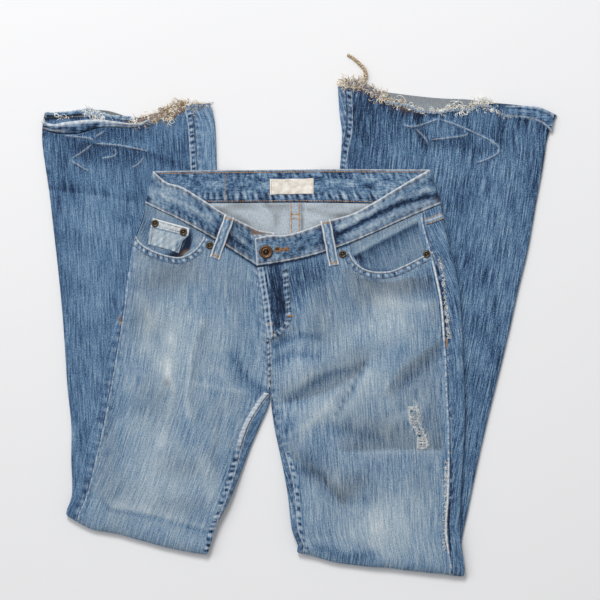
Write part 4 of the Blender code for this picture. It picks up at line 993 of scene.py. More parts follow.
CALF_SHADOWS = table(
    Shadow,
    ([(-186, 239), (-202, 234), (-218, 233), (-243, 234), (-262, 230), (-281, 225), (-303, 226),
     (-322, 230)], 5, 0.22),
    ([(-258, 215), (-277, 219), (-296, 225)], 9, 0.12),
    ([(-287, 195), (-272, 204), (-258, 215)], 7, 0.12),
    ([(-189, 205), (-224, 212), (-258, 215)], 12, 0.12),
    ([(-262, 179), (-274, 186), (-287, 194)], 7, 0.08),
    ([(-306, 156), (-250, 150), (-212, 142)], 14, 0.16),
    ([(-214, 120), (-196, 150), (-180, 176)], 12, 0.09),
    ([(-136, 188), (-168, 196), (-200, 210)], 12, 0.1), ([(213, 231), (238, 219), (251, 210)], 9, 0.08),
    ([(251, 210), (232, 194), (219, 190)], 7, 0.08), ([(213, 231), (188, 222), (163, 219)], 10, 0.1),
    ([(163, 211), (157, 221), (144, 235)], 9, 0.1),
    ([(316, 228), (309, 235), (297, 242), (280, 246), (262, 248)], 5, 0.2),
    ([(180, 254), (150, 252), (128, 258), (108, 266), (92, 278)], 8, 0.14),
)


def one_sided(shadows, x, y):
    """Shade that starts sharply at each line, falls off to its left, and fades at its ends."""
    total = np.zeros(np.shape(x))
    for shadow in shadows:
        off, past = line_distance(shadow.points, x, y)
        points = smooth_line(shadow.points, 4.0)
        at = np.argmin(np.hypot(x[..., None] - points[:, 0], y[..., None] - points[:, 1]), axis=-1)
        left = line_sides(points)[1][at]
        signed = off * np.sign((x - points[at, 0]) * left[..., 0] + (y - points[at, 1]) * left[..., 1])
        reach = np.exp(-np.maximum(signed, 0) / shadow.width) * smoothstep(-2.0, 2.0, signed)
        total += shadow.amount * reach * bell(past, 0, 12)
    return total


def tone_sum(tones, x, y):
    """The sum of soft ellipses: each is a bell along its long way and its short way."""
    total = np.zeros(np.shape(x))
    for tone in tones:
        lean = np.radians(tone.tilt)
        long_way = (x - tone.x) * np.sin(lean) + (y - tone.y) * np.cos(lean)
        short_way = (x - tone.x) * np.cos(lean) - (y - tone.y) * np.sin(lean)
        total += tone.amount * np.exp(-((long_way / tone.along) ** 2) - (short_way / tone.across) ** 2)
    return total


def thigh_fade_and_shading(x, y):
    """The thighs' fading with painted light and shade: its base, soft tones whose dark ones are mostly
    painted shade, painted highlights on crease tops and painted shade in crease hollows, and the dark placket
    of the fly.
    """
    lean = x - 0.04 * (30 - y)
    placket = smoothstep(-38.5, -36.5, lean) * smoothstep(-18.5, -21, lean) * smoothstep(-3, 3, y)
    placket = placket * (0.8 + 0.2 * wobble(y + 2 * x, 9, 0.4))
    return THIGH_BASE + tone_sum(THIGH_TONES, x, y) + 0.24 * fold_height(FRONT_CREASES, x, y) - 0.3 * placket


def calf_fade_and_shade(x, y):
    """The calves' fading: its base and soft tones whose dark ones are mostly painted shade, less the painted
    shade beside each crease.
    """
    return CALF_BASE + tone_sum(CALF_TONES, x, y) - one_sided(CALF_SHADOWS, x, y)


def seam_distances(leg, along, front):
    """Cloth length from each place of a panel to its side seam and to its inseam."""
    inseam = (leg.over_front - leg.inseam)[:, None]
    if front:
        return along - leg.side_seam[:, None], inseam - along
    return (leg.around + leg.side_seam)[:, None] - along, along - inseam


def leg_looks(leg, along, grid, front):
    """Fading, whitening and greying of a leg panel: its fading at each place, worn edges at its seams, and
    painted shade in the fronts' greying.
    """
    x, y = plan(grid)
    turned_over = ((1 - np.cos(leg.turn)) / 2)[:, None]
    if front:
        thigh, calf = thigh_fade_and_shading(x, y), UNDER_BASE
    else:
        thigh, calf = 0.34 + 0.25 * tone_sum(THIGH_TONES, x, y), calf_fade_and_shade(x, y)
    d_side, d_in = seam_distances(leg, along, front)
    v = lengths_down(grid)
    near_side, near_in = bell(d_side, 0, 9), bell(d_in, 0, 9)
    ripple = wobble(v, 11, 1.0) * near_side + wobble(v, 9, 2.0) * near_in
    fade = thigh * (1 - turned_over) + calf * turned_over + 0.09 * ripple - 0.05 * (near_side + near_in)
    wear_and_highlight = 0.25 * np.clip(ripple, 0, 1) * bell(np.minimum(d_side, d_in), 0, 4)
    # The fronts' greying: its base is greyer cloth, and the tones and thigh shadows are mostly painted shade.
    grey_and_shade = GREY_BASE + tone_sum(GREY_AND_SHADE_TONES, x, y) + one_sided(THIGH_SHADOWS, x, y) if front else 0 * x
    return fade, wear_and_highlight, v, np.clip(grey_and_shade, 0, 0.95) * (1 - turned_over)


def leg_lift(leg, along, grid, front):
    """How far a panel's face stands out: narrow creases, and puckers beside its seams."""
    around = leg.around[:, None]
    run = along if front else around - np.mod(along, around)
    span = leg.over_front[:, None] if front else around - leg.over_front[:, None]
    flat = smoothstep(2, 9, run) * np.maximum(smoothstep(2, 9, span - run), 1 - leg.closed[:, None])
    facing = np.cos(leg.turn)[:, None]
    v = lengths_down(grid)
    d_side, d_in = seam_distances(leg, along, front)
    folds = FRONT_CREASES if front else CALF_CREASES + CALF_HOLLOWS
    lift = fold_height(folds, *plan(grid)) * np.clip(facing if front else -facing, 0, 1) * flat
    pucker = 0.3 * bell(d_side, 0, 7) * (0.4 + 0.6 * wobble(v, 11, 1.0))
    pucker = pucker + 0.3 * bell(d_in, 0, 7) * (0.4 + 0.6 * wobble(v, 9, 2.0))
    soft = 0.5 * wobble(v + 0.6 * along, 58, 0.6) * wobble(along - 0.3 * v, 47, 1.9) * flat
    soft = soft + 0.18 * wobble(v - 0.5 * along, 23, 2.6) * wobble(along + 0.2 * v, 29, 0.4) * flat
    lift = lift + pucker + soft
    on_floor = np.clip(-facing, 0, 1) if front else 0 * facing
    return lift * (1 - on_floor) + np.minimum(lift, 0) * on_floor


# Mesh columns between the knots of a front, a back and a pocket facing
FRONT_COUNTS = (2, 3, 9, 28, 22, 8, 3, 3, 3)
BACK_COUNTS = (3, 3, 3, 8, 34, 8, 3, 3, 6)
FACING_COUNTS = (2, 4, 44)
POCKET_COLUMN = sum(FRONT_COUNTS[:4])


def front_panel(side):
    """A front panel from the waist seam to the hem, cut away above the pocket opening."""
    leg = leg_rows(side)
    over_front = leg.over_front
    gap = np.where(leg.place >= FIRST_CALF_ROW, CALF_SEAM_GAP, SEAM_GAP)
    first = leg.side_seam + SEAM_GAP / 2
    knots = (first, 0 * first, EDGE_ARC + 0 * first, first + 18, pocket_edge(leg), over_front - 20,
             over_front - EDGE_ARC, over_front, over_front + EDGE_ARC, over_front - leg.inseam - gap / 2)
    along = columns(knots, FRONT_COUNTS)
    grid = ring_points(leg, along, 0)
    x, y = plan(grid)
    lift = leg_lift(leg, along, grid, True)
    fade, wear_and_highlight, v, grey_and_shade = leg_looks(leg, along, grid, True)
    keep = np.ones((along.shape[0] - 1, along.shape[1] - 1), bool)
    keep[leg.place[1:] <= POCKET_ROW + 1e-6, :POCKET_COLUMN] = False
    on_fly = fly_shape(x, y) * (leg.turn < 1)[:, None]
    # Painted shadow: a dark line along the waist seam, just under the band's edge.
    fade = fade - 0.1 * on_fly * smoothstep(-40, 20, y) - 0.5 * bell(v, 0, 2.2)
    # Painted shade: a greyer inner face near the hem, inside the leg's opening.
    hem_inner_shade = bell(v[-1] - v, 0, 30) * (0.75 if side == "left" else 1.0)
    looks = {"fade": fade, "wear_and_highlight": wear_and_highlight, "tan": (0.2 * np.exp(-(v[-1] - v) / 6), 0.0), "inside": (0.0, 1.0),
             "grey_and_shade": (grey_and_shade, hem_inner_shade), "streaky": 0.1 if side == "left" else 0.0}
    cloth(f"cloth_front_{side}", ring_points(leg, along, -lift), ring_points(leg, along, DENIM - lift),
          (along - over_front[:, None] / 2 + GRAIN["front"], v), looks, f"front_{side}", keep)


INSIDE_FOLDS = table(
    Fold,
    ([(-112, 139), (-86, 131), (-62, 122)], 1.2, 5), ([(-104, 134), (-80, 124), (-64, 114)], -0.8, 4),
    ([(-50, 138), (-40, 128), (-36, 116)], 0.9, 4), ([(-42, 139), (-32, 128), (-28, 114)], -0.7, 4),
    ([(8, 136), (34, 131), (62, 129)], 1.0, 5), ([(4, 126), (24, 120), (44, 120)], 0.9, 4),
    ([(12, 131), (40, 125), (60, 124)], -0.8, 4), ([(60, 138), (84, 135), (104, 138)], 0.8, 4),
)
# Painted shade on the yokes' wrong side: a dark line beside the centre seam, shade under the band and along
# the wrinkles.
INSIDE_SHADE_TONES = table(
    Tone,
    (3, 122, 22, 1.6, 0, 0.6), (-12, 122, 22, 1.2, 0, 0.4), (-90, 134, 24, 5, 80, 0.5),
    (-70, 116, 40, 7, 116, 0.3), (-30, 118, 20, 5, 20, 0.25), (40, 120, 30, 6, 70, 0.25),
    (62, 122, 16, 46, 0, 0.25), (20, 134, 40, 4, 88, 0.4), (2, 118, 20, 3, 0, 0.3),
    (84, 134, 26, 6, 70, 0.35), (-40, 136, 40, 3, 88, 0.4),
)


def back_pieces(side):
    """The back yoke, whose wrong side shows in the waist, and the back panel below it."""
    for name, first_row, last_row in (("yoke", 0, YOKE_ROW), ("back", YOKE_ROW, LAST_ROW)):
        leg = leg_rows(side, first_row, last_row)
        over_front, around = leg.over_front, leg.around
        gap = np.where(leg.place >= FIRST_CALF_ROW, CALF_SEAM_GAP, SEAM_GAP)
        knots = (over_front - leg.inseam + gap / 2, over_front - EDGE_ARC, over_front, over_front + EDGE_ARC,
                 over_front + 22, around - 22, around - EDGE_ARC, around, around + EDGE_ARC,
                 around + leg.side_seam - SEAM_GAP / 2)
        along = columns(knots, BACK_COUNTS)
        grid = ring_points(leg, along, 0)
        x, y = plan(grid)
        lift = leg_lift(leg, along, grid, False)
        fade, wear_and_highlight, v, _ = leg_looks(leg, along, grid, False)
        wrinkles = fold_height(INSIDE_FOLDS, x, y) if last_row == YOKE_ROW else 0.0
        outer, inner = ring_points(leg, along, -lift), ring_points(leg, along, DENIM - lift + wrinkles)
        for whole in (outer, inner):
            way = whole[1] - whole[0]
            whole[0] += way / np.linalg.norm(way, axis=-1, keepdims=True) * SEAM_GAP / 2
        # Darker and tan at the hem's edge: the tan is the matted cotton's colour, and the darkening painted
        # shade under the loose threads.
        hem = np.exp(-(v[-1] - v) / 3) if last_row == LAST_ROW else 0 * v
        brown = smoothstep(-230, -205, x) if side == "right" else 1 - smoothstep(120, 150, x)
        # Painted shade on the yokes' wrong side: greyer by the tones, and in the wrinkles' hollows rather
        # than on their tops.
        grey_and_shade = np.clip(1.3 * tone_sum(INSIDE_SHADE_TONES, x, y) - 0.4 * wrinkles, 0, 0.8)
        looks = {"fade": fade - 0.22 * hem, "wear_and_highlight": wear_and_highlight, "tan": 0.4 * hem * brown, "inside": (0.0, 1.0),
                 "streaky": 0.08 if side == "left" else -0.22, "grey_and_shade": (0.0, grey_and_shade)}
        grain = along - (over_front + around)[:, None] / 2 + GRAIN["back"], v + 40
        cloth(f"cloth_{name}_{side}", outer, inner, grain, looks, f"{name}_{side}")


def waist_way(side):
    """The waist seam's start at the side, its way to the centre, and the way down from it."""
    start = np.array(THIGH[side][0].side, float)
    way = np.array(CENTRE[0].front, float) - start
    return start, way, TURN[side] * np.array([way[1], -way[0]]) / np.hypot(*way)


def facing_depth(side, x, y):
    """How far a pocket facing lies under the front's face: it sinks towards the opening's edge."""
    start, way, down = waist_way(side)
    below = (x - start[0]) * down[0] + (y - start[1]) * down[1]
    inward = ((x - start[0]) * way[0] + (y - start[1]) * way[1]) / np.hypot(*way)
    edge = POCKET_EDGE[side][-1]
    beside = smoothstep(edge - FACING_SINK_BESIDE, edge, inward)
    sunk = np.maximum(smoothstep(0, FACING_SINK_BELOW, below), beside)
    return FACING_DEPTH * (FACING_START + (1 - FACING_START) * sunk)


FACING_FOLDS = table(
    Fold,
    ([(66, 75), (86, 86), (118, 103), (151, 121)], 1.0, 3.0),
    ([(64, 68), (76, 64), (88, 60)], 0.8, 2.5), ([(70, 72), (84, 70), (94, 62)], -0.6, 2.5),
    ([(-140, 72), (-128, 92)], 0.6, 3.5), ([(-199, 92), (-192, 66)], 0.5, 3),
)
FACING_SHADOWS = table(
    Shadow,
    ([(153, 118), (119, 101), (88, 84), (68, 73)], 9, 0.4),
    ([(60, 82), (67, 66), (78, 58), (92, 54), (112, 54)], 3, 0.3),
    ([(-138, 104), (-141, 88), (-148, 78), (-164, 73)], 4, 0.36),
    ([(-196, 120), (-194, 100), (-188, 84)], 4, 0.16),
)
# Facing tones: the two strong dark spots beside the coin pocket are painted shade in the gap under it.
FACING_TONES = table(
    Tone,
    (150, 92, 24, 24, 60, 0.04), (80, 66, 9, 5, 60, -0.12), (112, 112, 50, 8, 62, 0.1),
    (-141.5, 90, 11, 5, 20, -0.7), (-152, 76, 14, 5.5, 75, -0.7), (-190, 112, 14, 10, 0, -0.12),
    (-128, 92, 12, 6, -30, 0.12), (-165, 128, 30, 6, 70, 0.1),
)
COIN_GAP_TONES = table(Tone, (-141, 77, 6, 3.5, 70, 1.0))


def pocket_facing(side):
    """The denim that shows in the pocket opening, from the side seam to just past the edge."""
    leg = leg_rows(side, 0, FACING_END_ROW)
    first = leg.side_seam + SEAM_GAP / 2
    along = columns((first, 0 * first, EDGE_ARC + 0 * first, pocket_edge(leg) + FACING_PAST), FACING_COUNTS)
    grid = ring_points(leg, along, 0)
    x, y = plan(grid)
    folds = fold_height(FACING_FOLDS, x, y)
    depth = facing_depth(side, x, y) - np.minimum(folds, 1.0)
    # Paler on the fold tops and darker in their hollows: painted light and shade, beside the painted facing
    # shadows.
    fade = 0.47 + 0.12 * folds + tone_sum(FACING_TONES, x, y) - one_sided(FACING_SHADOWS, x, y)
    looks = {"fade": fade, "tan": 0.8 * tone_sum(COIN_GAP_TONES, x, y), "inside": (0.0, 1.0), "grey_and_shade": 0.3,
             "streaky": -0.2}
    cloth(f"cloth_pocket_facing_{side}", ring_points(leg, along, depth),
          ring_points(leg, along, depth + FACING_THICK), (along + GRAIN["facing"], lengths_down(grid) + 90),
          looks, f"pocket_facing_{side}")


# ---------------------------------------------------------------- waistband

BAND_SHARE = np.concatenate([[0, 0.02, 0.05, 0.09], np.linspace(0.14, 0.86, 14), [0.91, 0.95, 0.98, 1]])
BAND_CREASES = table(
    Fold,
    ([(44, 100), (69, 112), (100, 129), (125, 140), (172, 152)], -1.1, 2.2),
    ([(50, 108), (75, 120), (103, 136), (128, 147), (160, 158)], 0.7, 4.0),
    ([(60, 98), (90, 112), (120, 127), (150, 138), (176, 143)], 0.6, 4.0),
    ([(108, 138), (118, 146), (124, 156)], -0.6, 3.0), ([(66, 121), (74, 126), (78, 133)], 0.6, 2.5),
    ([(132, 150), (150, 160), (170, 163)], -0.6, 3.0), ([(-10, 76), (12, 90), (28, 94)], -0.5, 3.0),
    ([(-170, 150), (-140, 138), (-112, 118)], 0.6, 5.0),
    ([(-178, 160), (-150, 145), (-120, 130)], -0.5, 3.5),
    ([(-96, 112), (-84, 100), (-70, 92)], 0.6, 3.5), ([(-92, 104), (-80, 92), (-66, 84)], -0.7, 3.0),
    ([(-160, 134), (-130, 120), (-110, 104)], -0.5, 4.0), ([(0, 88), (16, 82), (30, 86)], 0.4, 3.0),
)
# Band tones: pale and dark patches, partly the cloth's own fading and partly painted light and shade, such as
# the darkening round the belt loops' feet.
BAND_TONES = table(
    Tone,
    (-172, 150, 16, 12, 40, 0.2), (-140, 134, 34, 7, 126, 0.14), (-152, 152, 24, 5, 122, 0.1),
    (-118, 118, 16, 9, 126, -0.08), (-96, 96, 12, 10, 0, -0.12), (-70, 92, 16, 8, 120, -0.04),
    (-110, 134, 10, 4, 120, 0.12), (-30, 80, 20, 9, 80, 0.02), (0, 92, 16, 8, 70, -0.08),
    (16, 80, 14, 6, 70, 0.1), (60, 118, 24, 7, 62, 0.12), (100, 140, 26, 6, 60, 0.14),
    (76, 98, 30, 6, 62, 0.1), (140, 132, 24, 6, 66, -0.06), (156, 166, 16, 8, 50, 0.1),
    (176, 140, 16, 8, 0, -0.16), (-92, 82, 12, 10, 0, -0.14), (20, 84, 8, 8, 0, -0.12),
)
BAND_SHADOWS = table(
    Shadow,
    ([(-80, 122), (-90, 95), (-99.5, 68)], 2.8, 0.5),
    ([(-113, 74), (-103, 100), (-94, 125)], 2.8, 0.45), ([(39.5, 120), (44.5, 92), (50, 62)], 2.8, 0.5),
    ([(36, 61), (31, 90), (25.5, 118)], 2.8, 0.45),
    ([(172, 151), (125, 139), (100, 128), (69, 111), (44, 99)], 2.6, 0.55),
    ([(163, 171), (135, 150), (108, 130)], 2.5, 0.16),
    ([(-112, 116), (-140, 136), (-172, 148)], 4, 0.16), ([(-66, 84), (-84, 96), (-98, 108)], 2.5, 0.24),
    ([(28, 92), (12, 88), (-8, 74)], 3, 0.2),
)


def waist_line(side, along):
    """Places on the front waist seam at shares of its way, bowed down by a skewed sine."""
    start, way, down = waist_way(side)
    bow, skew = WAIST_BOW[side]
    sag = bow * np.sin(np.pi * np.clip(along, 0, 1) ** skew)
    return start + way * along[:, None] + down * sag[:, None]


def band_top_line(edges, along):
    """Places on a band's top edge, smooth between the table's rows."""
    return np.stack([read_edge(edges, along, "x"), read_edge(edges, along, "y")], axis=1)


def end_rounding(run):
    """0 at a band's end and 1 past its rounded part, as a quarter circle."""
    return np.sqrt(1 - (1 - np.clip(run / BAND_END_ROUND, 0, 1)) ** 2)


def band_plan(seam, top, share):
    """Places between a band's seam and its top edge, with the seam's gap left along its foot."""
    way = top - seam
    flat = seam * (1 - share) + top * share
    return flat + SEAM_GAP * (1 - share) * way / np.linalg.norm(way, axis=1, keepdims=True)


def band_relief(share, run, seed):
    """Rounded edges, a groove inside each row of stitches, and puckers that lean across the band."""
    edge = np.minimum(share, 1 - share) * BAND_WIDTH
    fall = 0.75 * np.clip(1 - edge / 1.6, 0, 1) ** 2
    pucker = 0.22 * wobble(run + 9 * (share - 0.5), 8.5, seed) * bell(edge, 0, 9)
    wave = 0.3 * wobble(run, 44, seed + 1.0) * np.sin(np.pi * share)
    return pucker + wave - fall - 0.28 * bell(edge, 4.0, 1.1)


def front_band(side):
    """A front stretch of the waistband; its side end rounds down to meet the back stretch."""
    right = side == "right"
    seed = 1.4 if right else 2.7
    along = np.concatenate([[0, 0.004, 0.01, 0.018, 0.028],
                            np.linspace(0.04, UNDERLAP_END if right else 1.0, 110)])
    seam = waist_line(side, along)
    flat = band_plan(seam, band_top_line(BAND_TOP[side], along), BAND_SHARE[:, None, None])
    x, y = plan(flat)
    share = BAND_SHARE[:, None]
    run = (along * np.hypot(*(CENTRE[0].front - seam[0])))[None, :]
    low_edge, high_edge = share * BAND_WIDTH, (1 - share) * BAND_WIDTH
    edge = np.minimum(share, 1 - share) * BAND_WIDTH
    middle = bed(x, y) + THIGH_HEIGHT / 2
    face = band_face(x, y)
    if right:
        face = face - UNDERLAP_DROP * smoothstep(*UNDERLAP_ZONE, x)
    rounding = end_rounding(run)
    under = np.maximum(middle + SEAM_GAP / 2, face - BAND_THICK)
    under = (middle + SEAM_GAP / 2) * (1 - rounding) + under * rounding
    creases = fold_height(BAND_CREASES, x, y) * np.sin(np.pi * share) ** 0.4
    raised = face + band_relief(share, run, seed) + creases
    face = (middle + BAND_END_HALF) * (1 - rounding) + raised * rounding
    top_worn = bell(high_edge, 0, 1.8)
    ripple = wobble(run + 9 * share, 8.5, seed)
    mottle = wobble(run + 3 * share, 31, 0.4) * wobble(low_edge + 0.2 * run, 17, 1.1)
    # Painted light and shade: darker in the groove inside each stitch row, paler on crease tops and darker in
    # crease hollows, a painted shadow line along the seam at the band's foot, and whiter crease tops as
    # painted highlights.
    fade = 0.36 + 0.22 * ripple * bell(edge, 0, 9) - 0.12 * bell(edge, 4, 1.2)
    fade = fade + 0.2 * mottle + 0.26 * creases + tone_sum(BAND_TONES, x, y) - one_sided(BAND_SHADOWS, x, y)
    fade = fade - 0.4 * bell(low_edge, 0, 0.7)
    wear_and_highlight = 0.8 * top_worn + 0.2 * np.clip(ripple, 0, 1) * bell(edge, 0, 6) + 0.2 * np.clip(creases, 0, 1)
    wear_and_highlight = wear_and_highlight + 0.62 * bell(low_edge, 1.9, 0.9) * np.clip(0.4 * mottle + 0.7, 0, 1)
    tan = 0.0
    if right:
        past = smoothstep(-62, -59, x)
        tucked = past * smoothstep(100.2, 101.8, y) * (1 - top_worn)
        wear_and_highlight = wear_and_highlight + 0.6 * past * bell(y, 99.6, 1.1)
        tan, fade, wear_and_highlight = 0.55 * tucked, fade * (1 - tucked), wear_and_highlight * (1 - 0.8 * tucked)
    else:
        wear_and_highlight = np.maximum(wear_and_highlight, 0.8 * bell(run[0, -1] - run, 0, 1.8))
    looks = {"fade": fade, "wear_and_highlight": wear_and_highlight, "tan": tan, "streaky": -0.35, "grey_and_shade": 0.12, "rumpled": 1.15}
    cloth(f"cloth_waistband_{side}", at_height(flat, face), at_height(flat, under),
          (low_edge + GRAIN["front band"], 3 * run), looks, f"waistband_{side}")


def back_band_flat(along, share):
    """Places on the back band in plan: from its seam to its top edge."""
    right, left = np.array(THIGH["right"][0].side, float), np.array(THIGH["left"][0].side, float)
    centre = np.array(CENTRE[0].back, float)
    half = np.clip(along * 2, 0, 1)[:, None], np.clip(along * 2 - 1, 0, 1)[:, None]
    seam = right + (centre - right) * half[0] + (left - centre) * half[1]
    return band_plan(seam, band_top_line(BACK_BAND_TOP, along), share)


def back_band():
    """The back stretch, whose inner face is up, with both ends rounded up to the front ends."""
    along = np.concatenate([[0, 0.002, 0.005, 0.009, 0.014], np.linspace(0.02, 0.98, 150),
                            [0.986, 0.991, 0.995, 0.998, 1]])
    flat = back_band_flat(along, BAND_SHARE[:, None, None])
    x, y = plan(flat)
    share = BAND_SHARE[:, None]
    length = THIGH["left"][0].side[0] - THIGH["right"][0].side[0]
    run = (along * length)[None, :]
    low = bed(x, y)
    middle = low + THIGH_HEIGHT / 2
    rounding = end_rounding(np.minimum(along, 1 - along) * length)[None, :]
    ceiling = middle - SEAM_GAP / 2
    high = np.minimum(low + BAND_THICK + 0.8 * band_relief(share, run, 0.7), ceiling)
    high = ceiling * (1 - rounding) + high * rounding
    low = (middle - BAND_END_HALF) * (1 - rounding) + low * rounding
    low_edge, high_edge = share * BAND_WIDTH, (1 - share) * BAND_WIDTH
    edge = np.minimum(share, 1 - share) * BAND_WIDTH
    ripple = wobble(run + 6 * share, 8.0, 0.7)
    rungs = bell(low_edge, 7.5, 4.5) + 0.5 * bell(high_edge, 7, 4)
    mottle = wobble(run, 53, 0.4) * wobble(low_edge + 0.1 * run, 19, 1.1)
    patchy = 0.6 + 0.4 * wobble(run, 29, 0.9) * wobble(run, 7, 2.0)
    top_worn = bell(high_edge, 0, 1.5) * patchy
    # Painted shade: darker beside the groove inside each stitch row and along the seam at the band's foot.
    fade = 0.28 + 0.08 * smoothstep(50, 110, x) + 0.38 * ripple * rungs - 0.12 * bell(edge, 3, 1.4)
    pale = bell(share, 0.55, 0.12) * (0.3 + 0.7 * wobble(run, 37, 0.2)).clip(0, 1)
    fade = fade + 0.24 * mottle + 0.24 * pale
    fade = fade - 0.25 * bell(low_edge, 0, 1.4)
    wear_and_highlight = 0.8 * top_worn + 0.4 * np.clip(ripple, 0, 1) * rungs * (low_edge < 20) * patchy
    looks = {"fade": fade, "wear_and_highlight": wear_and_highlight, "tan": 0.1 * top_worn, "streaky": -0.25, "rumpled": 1.2}
    cloth("cloth_waistband_back", at_height(flat, high), at_height(flat, low),
          (low_edge + GRAIN["back band"], 3 * run), looks, "waistband_back")


# ---------------------------------------------------------------- seams and trims

STRIP_STEP, RING_STRIP_COUNT, RUNG_HALF = 0.7, 11, 0.3


def plan_strip(points, width, surface, count=13):
    """A grid on a surface along a line in plan: rows down its length and columns across it."""
    line = smooth_line(points, STRIP_STEP)
    left = line_sides(line)[1]
    across = np.linspace(-0.5, 0.5, count)[None, :]
    flat = line[:, None, :2] + left[:, None, :] * (across * width)[..., None]
    base = at_height(flat, surface(*plan(flat)))
    run = STRIP_STEP * np.arange(len(line))[:, None]
    return base, np.broadcast_to([0.0, 0.0, 1.0], base.shape), run, across


def ring_strip(side, places, front, seam, inward, width, drift=0.0):
    """The same along a seam of a leg: inward is how far its middle lies from the seam, inwards.

    drift is how much nearer the leg's edge it starts; it falls away as a square down the leg.
    """
    leg = leg_rows(side, *places)
    share = (leg.place - leg.place[0]) / np.ptp(leg.place)
    inward = inward - drift * (1 - share) ** 2
    if seam == "side":
        middle = leg.side_seam + inward if front else leg.around + leg.side_seam - inward
    else:
        edge = leg.over_front - leg.inseam
        middle = edge - inward if front else edge + inward
    across = np.linspace(-0.5, 0.5, RING_STRIP_COUNT)[None, :]
    along = middle[:, None] + across * width
    lift = leg_lift(leg, along, ring_points(leg, along, 0), front)
    low, high = ring_points(leg, along, -lift), ring_points(leg, along, -lift - 1)
    run = lengths_down(low)[:, RING_STRIP_COUNT // 2]
    steps = np.arange(0, run[-1], 1.0)
    at = np.interp(steps, run, np.arange(len(run)))
    return read_rows(low, at), read_rows(high - low, at), steps[:, None], across


def lay(name, base, out, top, fade, wear_and_highlight=0.0, tan=0.0, sunk=0.5, inside=0.0):
    """A narrow shell on a surface: its face stands off by top, and its back is sunk a little."""
    outer = base + out * np.broadcast_to(top, base.shape[:2])[..., None]
    looks = {"fade": fade, "wear_and_highlight": wear_and_highlight, "tan": tan, "inside": inside}
    cloth(name, outer, base - out * sunk, (base[..., 0] + GRAIN["trim"], base[..., 1]), looks)


def ladder(name, grid, base_fade, period, seed, white=0.4, height=0.6, solid=0.0):
    """A puckered seam: uneven pale rungs, dark dashes between them, and a pale and a dark line.

    solid is the length from its start over which the seam is worn white all along.
    """
    base, out, run, across = grid
    wave = wobble(run + 2 * across, period, seed)
    inner = bell(across, 0.0, RUNG_HALF)
    top = 0.25 + height * (0.45 + 0.4 * wave) * inner + 0.3 * bell(across, 0.42, 0.1)
    top = top - 0.6 * smoothstep(0.42, 0.5, np.abs(across)) - 0.3 * bell(across, -0.4, 0.07)
    dashes = smoothstep(0.1, 0.75, -wave) * bell(across, 0.05, RUNG_HALF * 0.8)
    # Dark dashes in the hollows between the rungs, and dark lines in the grooves and beside the worn plateau:
    # partly unworn indigo, partly painted shade.
    fade = base_fade + 0.12 * wave * inner - 0.34 * dashes - 0.22 * bell(across, -0.42, 0.07)
    patchy = 0.6 + 0.4 * wobble(run, 5.3, seed + 3)
    wear_and_highlight = white * np.clip(wave, 0, 1) * inner + 0.7 * bell(across, 0.4, 0.08) * patchy
    worn = 1 - smoothstep(0.7 * solid, solid + 1, run)
    rungs = 0.62 + 0.38 * wobble(run + 1.5 * across, 5.6, seed)
    plateau = smoothstep(-0.46, -0.38, across) * smoothstep(0.16, 0.08, across)
    top = top + worn * (0.5 + 0.25 * rungs) * plateau
    wear_and_highlight = wear_and_highlight * (1 - worn) + worn * (0.74 * plateau * rungs + 0.6 * bell(across, 0.34, 0.05))
    fade = fade + (0.22 * plateau + 0.3 * dashes) * worn - 0.6 * worn * bell(across, 0.22, 0.05)
    lay(name, base, out, top, fade - 0.4 * worn * bell(across, 0.46, 0.05), wear_and_highlight)


def worn_edge(name, grid, base_fade, seed, white, half=0.14, frayed=()):
    """A seam whose ridge is worn white, with a dark line along its one side."""
    base, out, run, across = grid
    y = base[..., 1]
    torn = sum(smoothstep(low - 6, low + 6, y) * smoothstep(high + 6, high - 6, y) for low, high in frayed)
    patchy = np.clip(0.55 + 0.5 * wobble(run, 9, seed) + 0.35 * wobble(run, 3.7, seed + 1), 0.1, 1.1)
    top = 0.2 + 0.5 * bell(across, 0, half * 1.5) - 0.5 * smoothstep(0.4, 0.5, np.abs(across))
    # Painted shade: the dark line beside the ridge, and dark gaps where the seam is frayed.
    gap = bell(across, -0.37, 0.1) * (0.75 + 0.25 * wobble(run, 8, seed)) + 0.45 * bell(across, 0.2, 0.06)
    fade = base_fade - 0.34 * bell(across, -2.4 * half, half) - 0.8 * torn * gap
    lay(name, base, out, top, fade, white * (patchy + 0.9 * torn) * bell(across, 0, half))


Stitching = namedtuple("Stitching", "points surface")


def sewn(name, rows, material, length=2.5, gap=0.9, width=0.75, lift=0.45):
    """Rows of stitches of one thread as one piece."""
    parts = [stitch_arrays(row.points, row.surface, length, gap, width, lift) for row in rows]
    mesh_object(name, *join_arrays(parts), material)


def shifted(points, by):
    """A line in plan moved to its left by a distance."""
    line = smooth_line(points, 4.0)
    return line[:, :2] + line_sides(line)[1] * by


def rows_beside(points, distances, surface):
    """Rows of stitches on a surface, at distances to the left of a line in plan."""
    return [Stitching(shifted(points, by), surface) for by in distances]


on_front = above(front_face, 0.5)

RIM = {
    "right": [(-204, 98), (-200, 91), (-191, 84), (-178, 78), (-163, 73.5), (-150, 72), (-138, 76),
              (-129, 83), (-122, 92), (-119, 98)],
    "left": [(62, 79), (67, 69), (76, 60), (88, 55), (101, 53.5), (115, 55), (131, 61.5), (146, 69),
             (160, 76), (166.5, 78.5)],
}


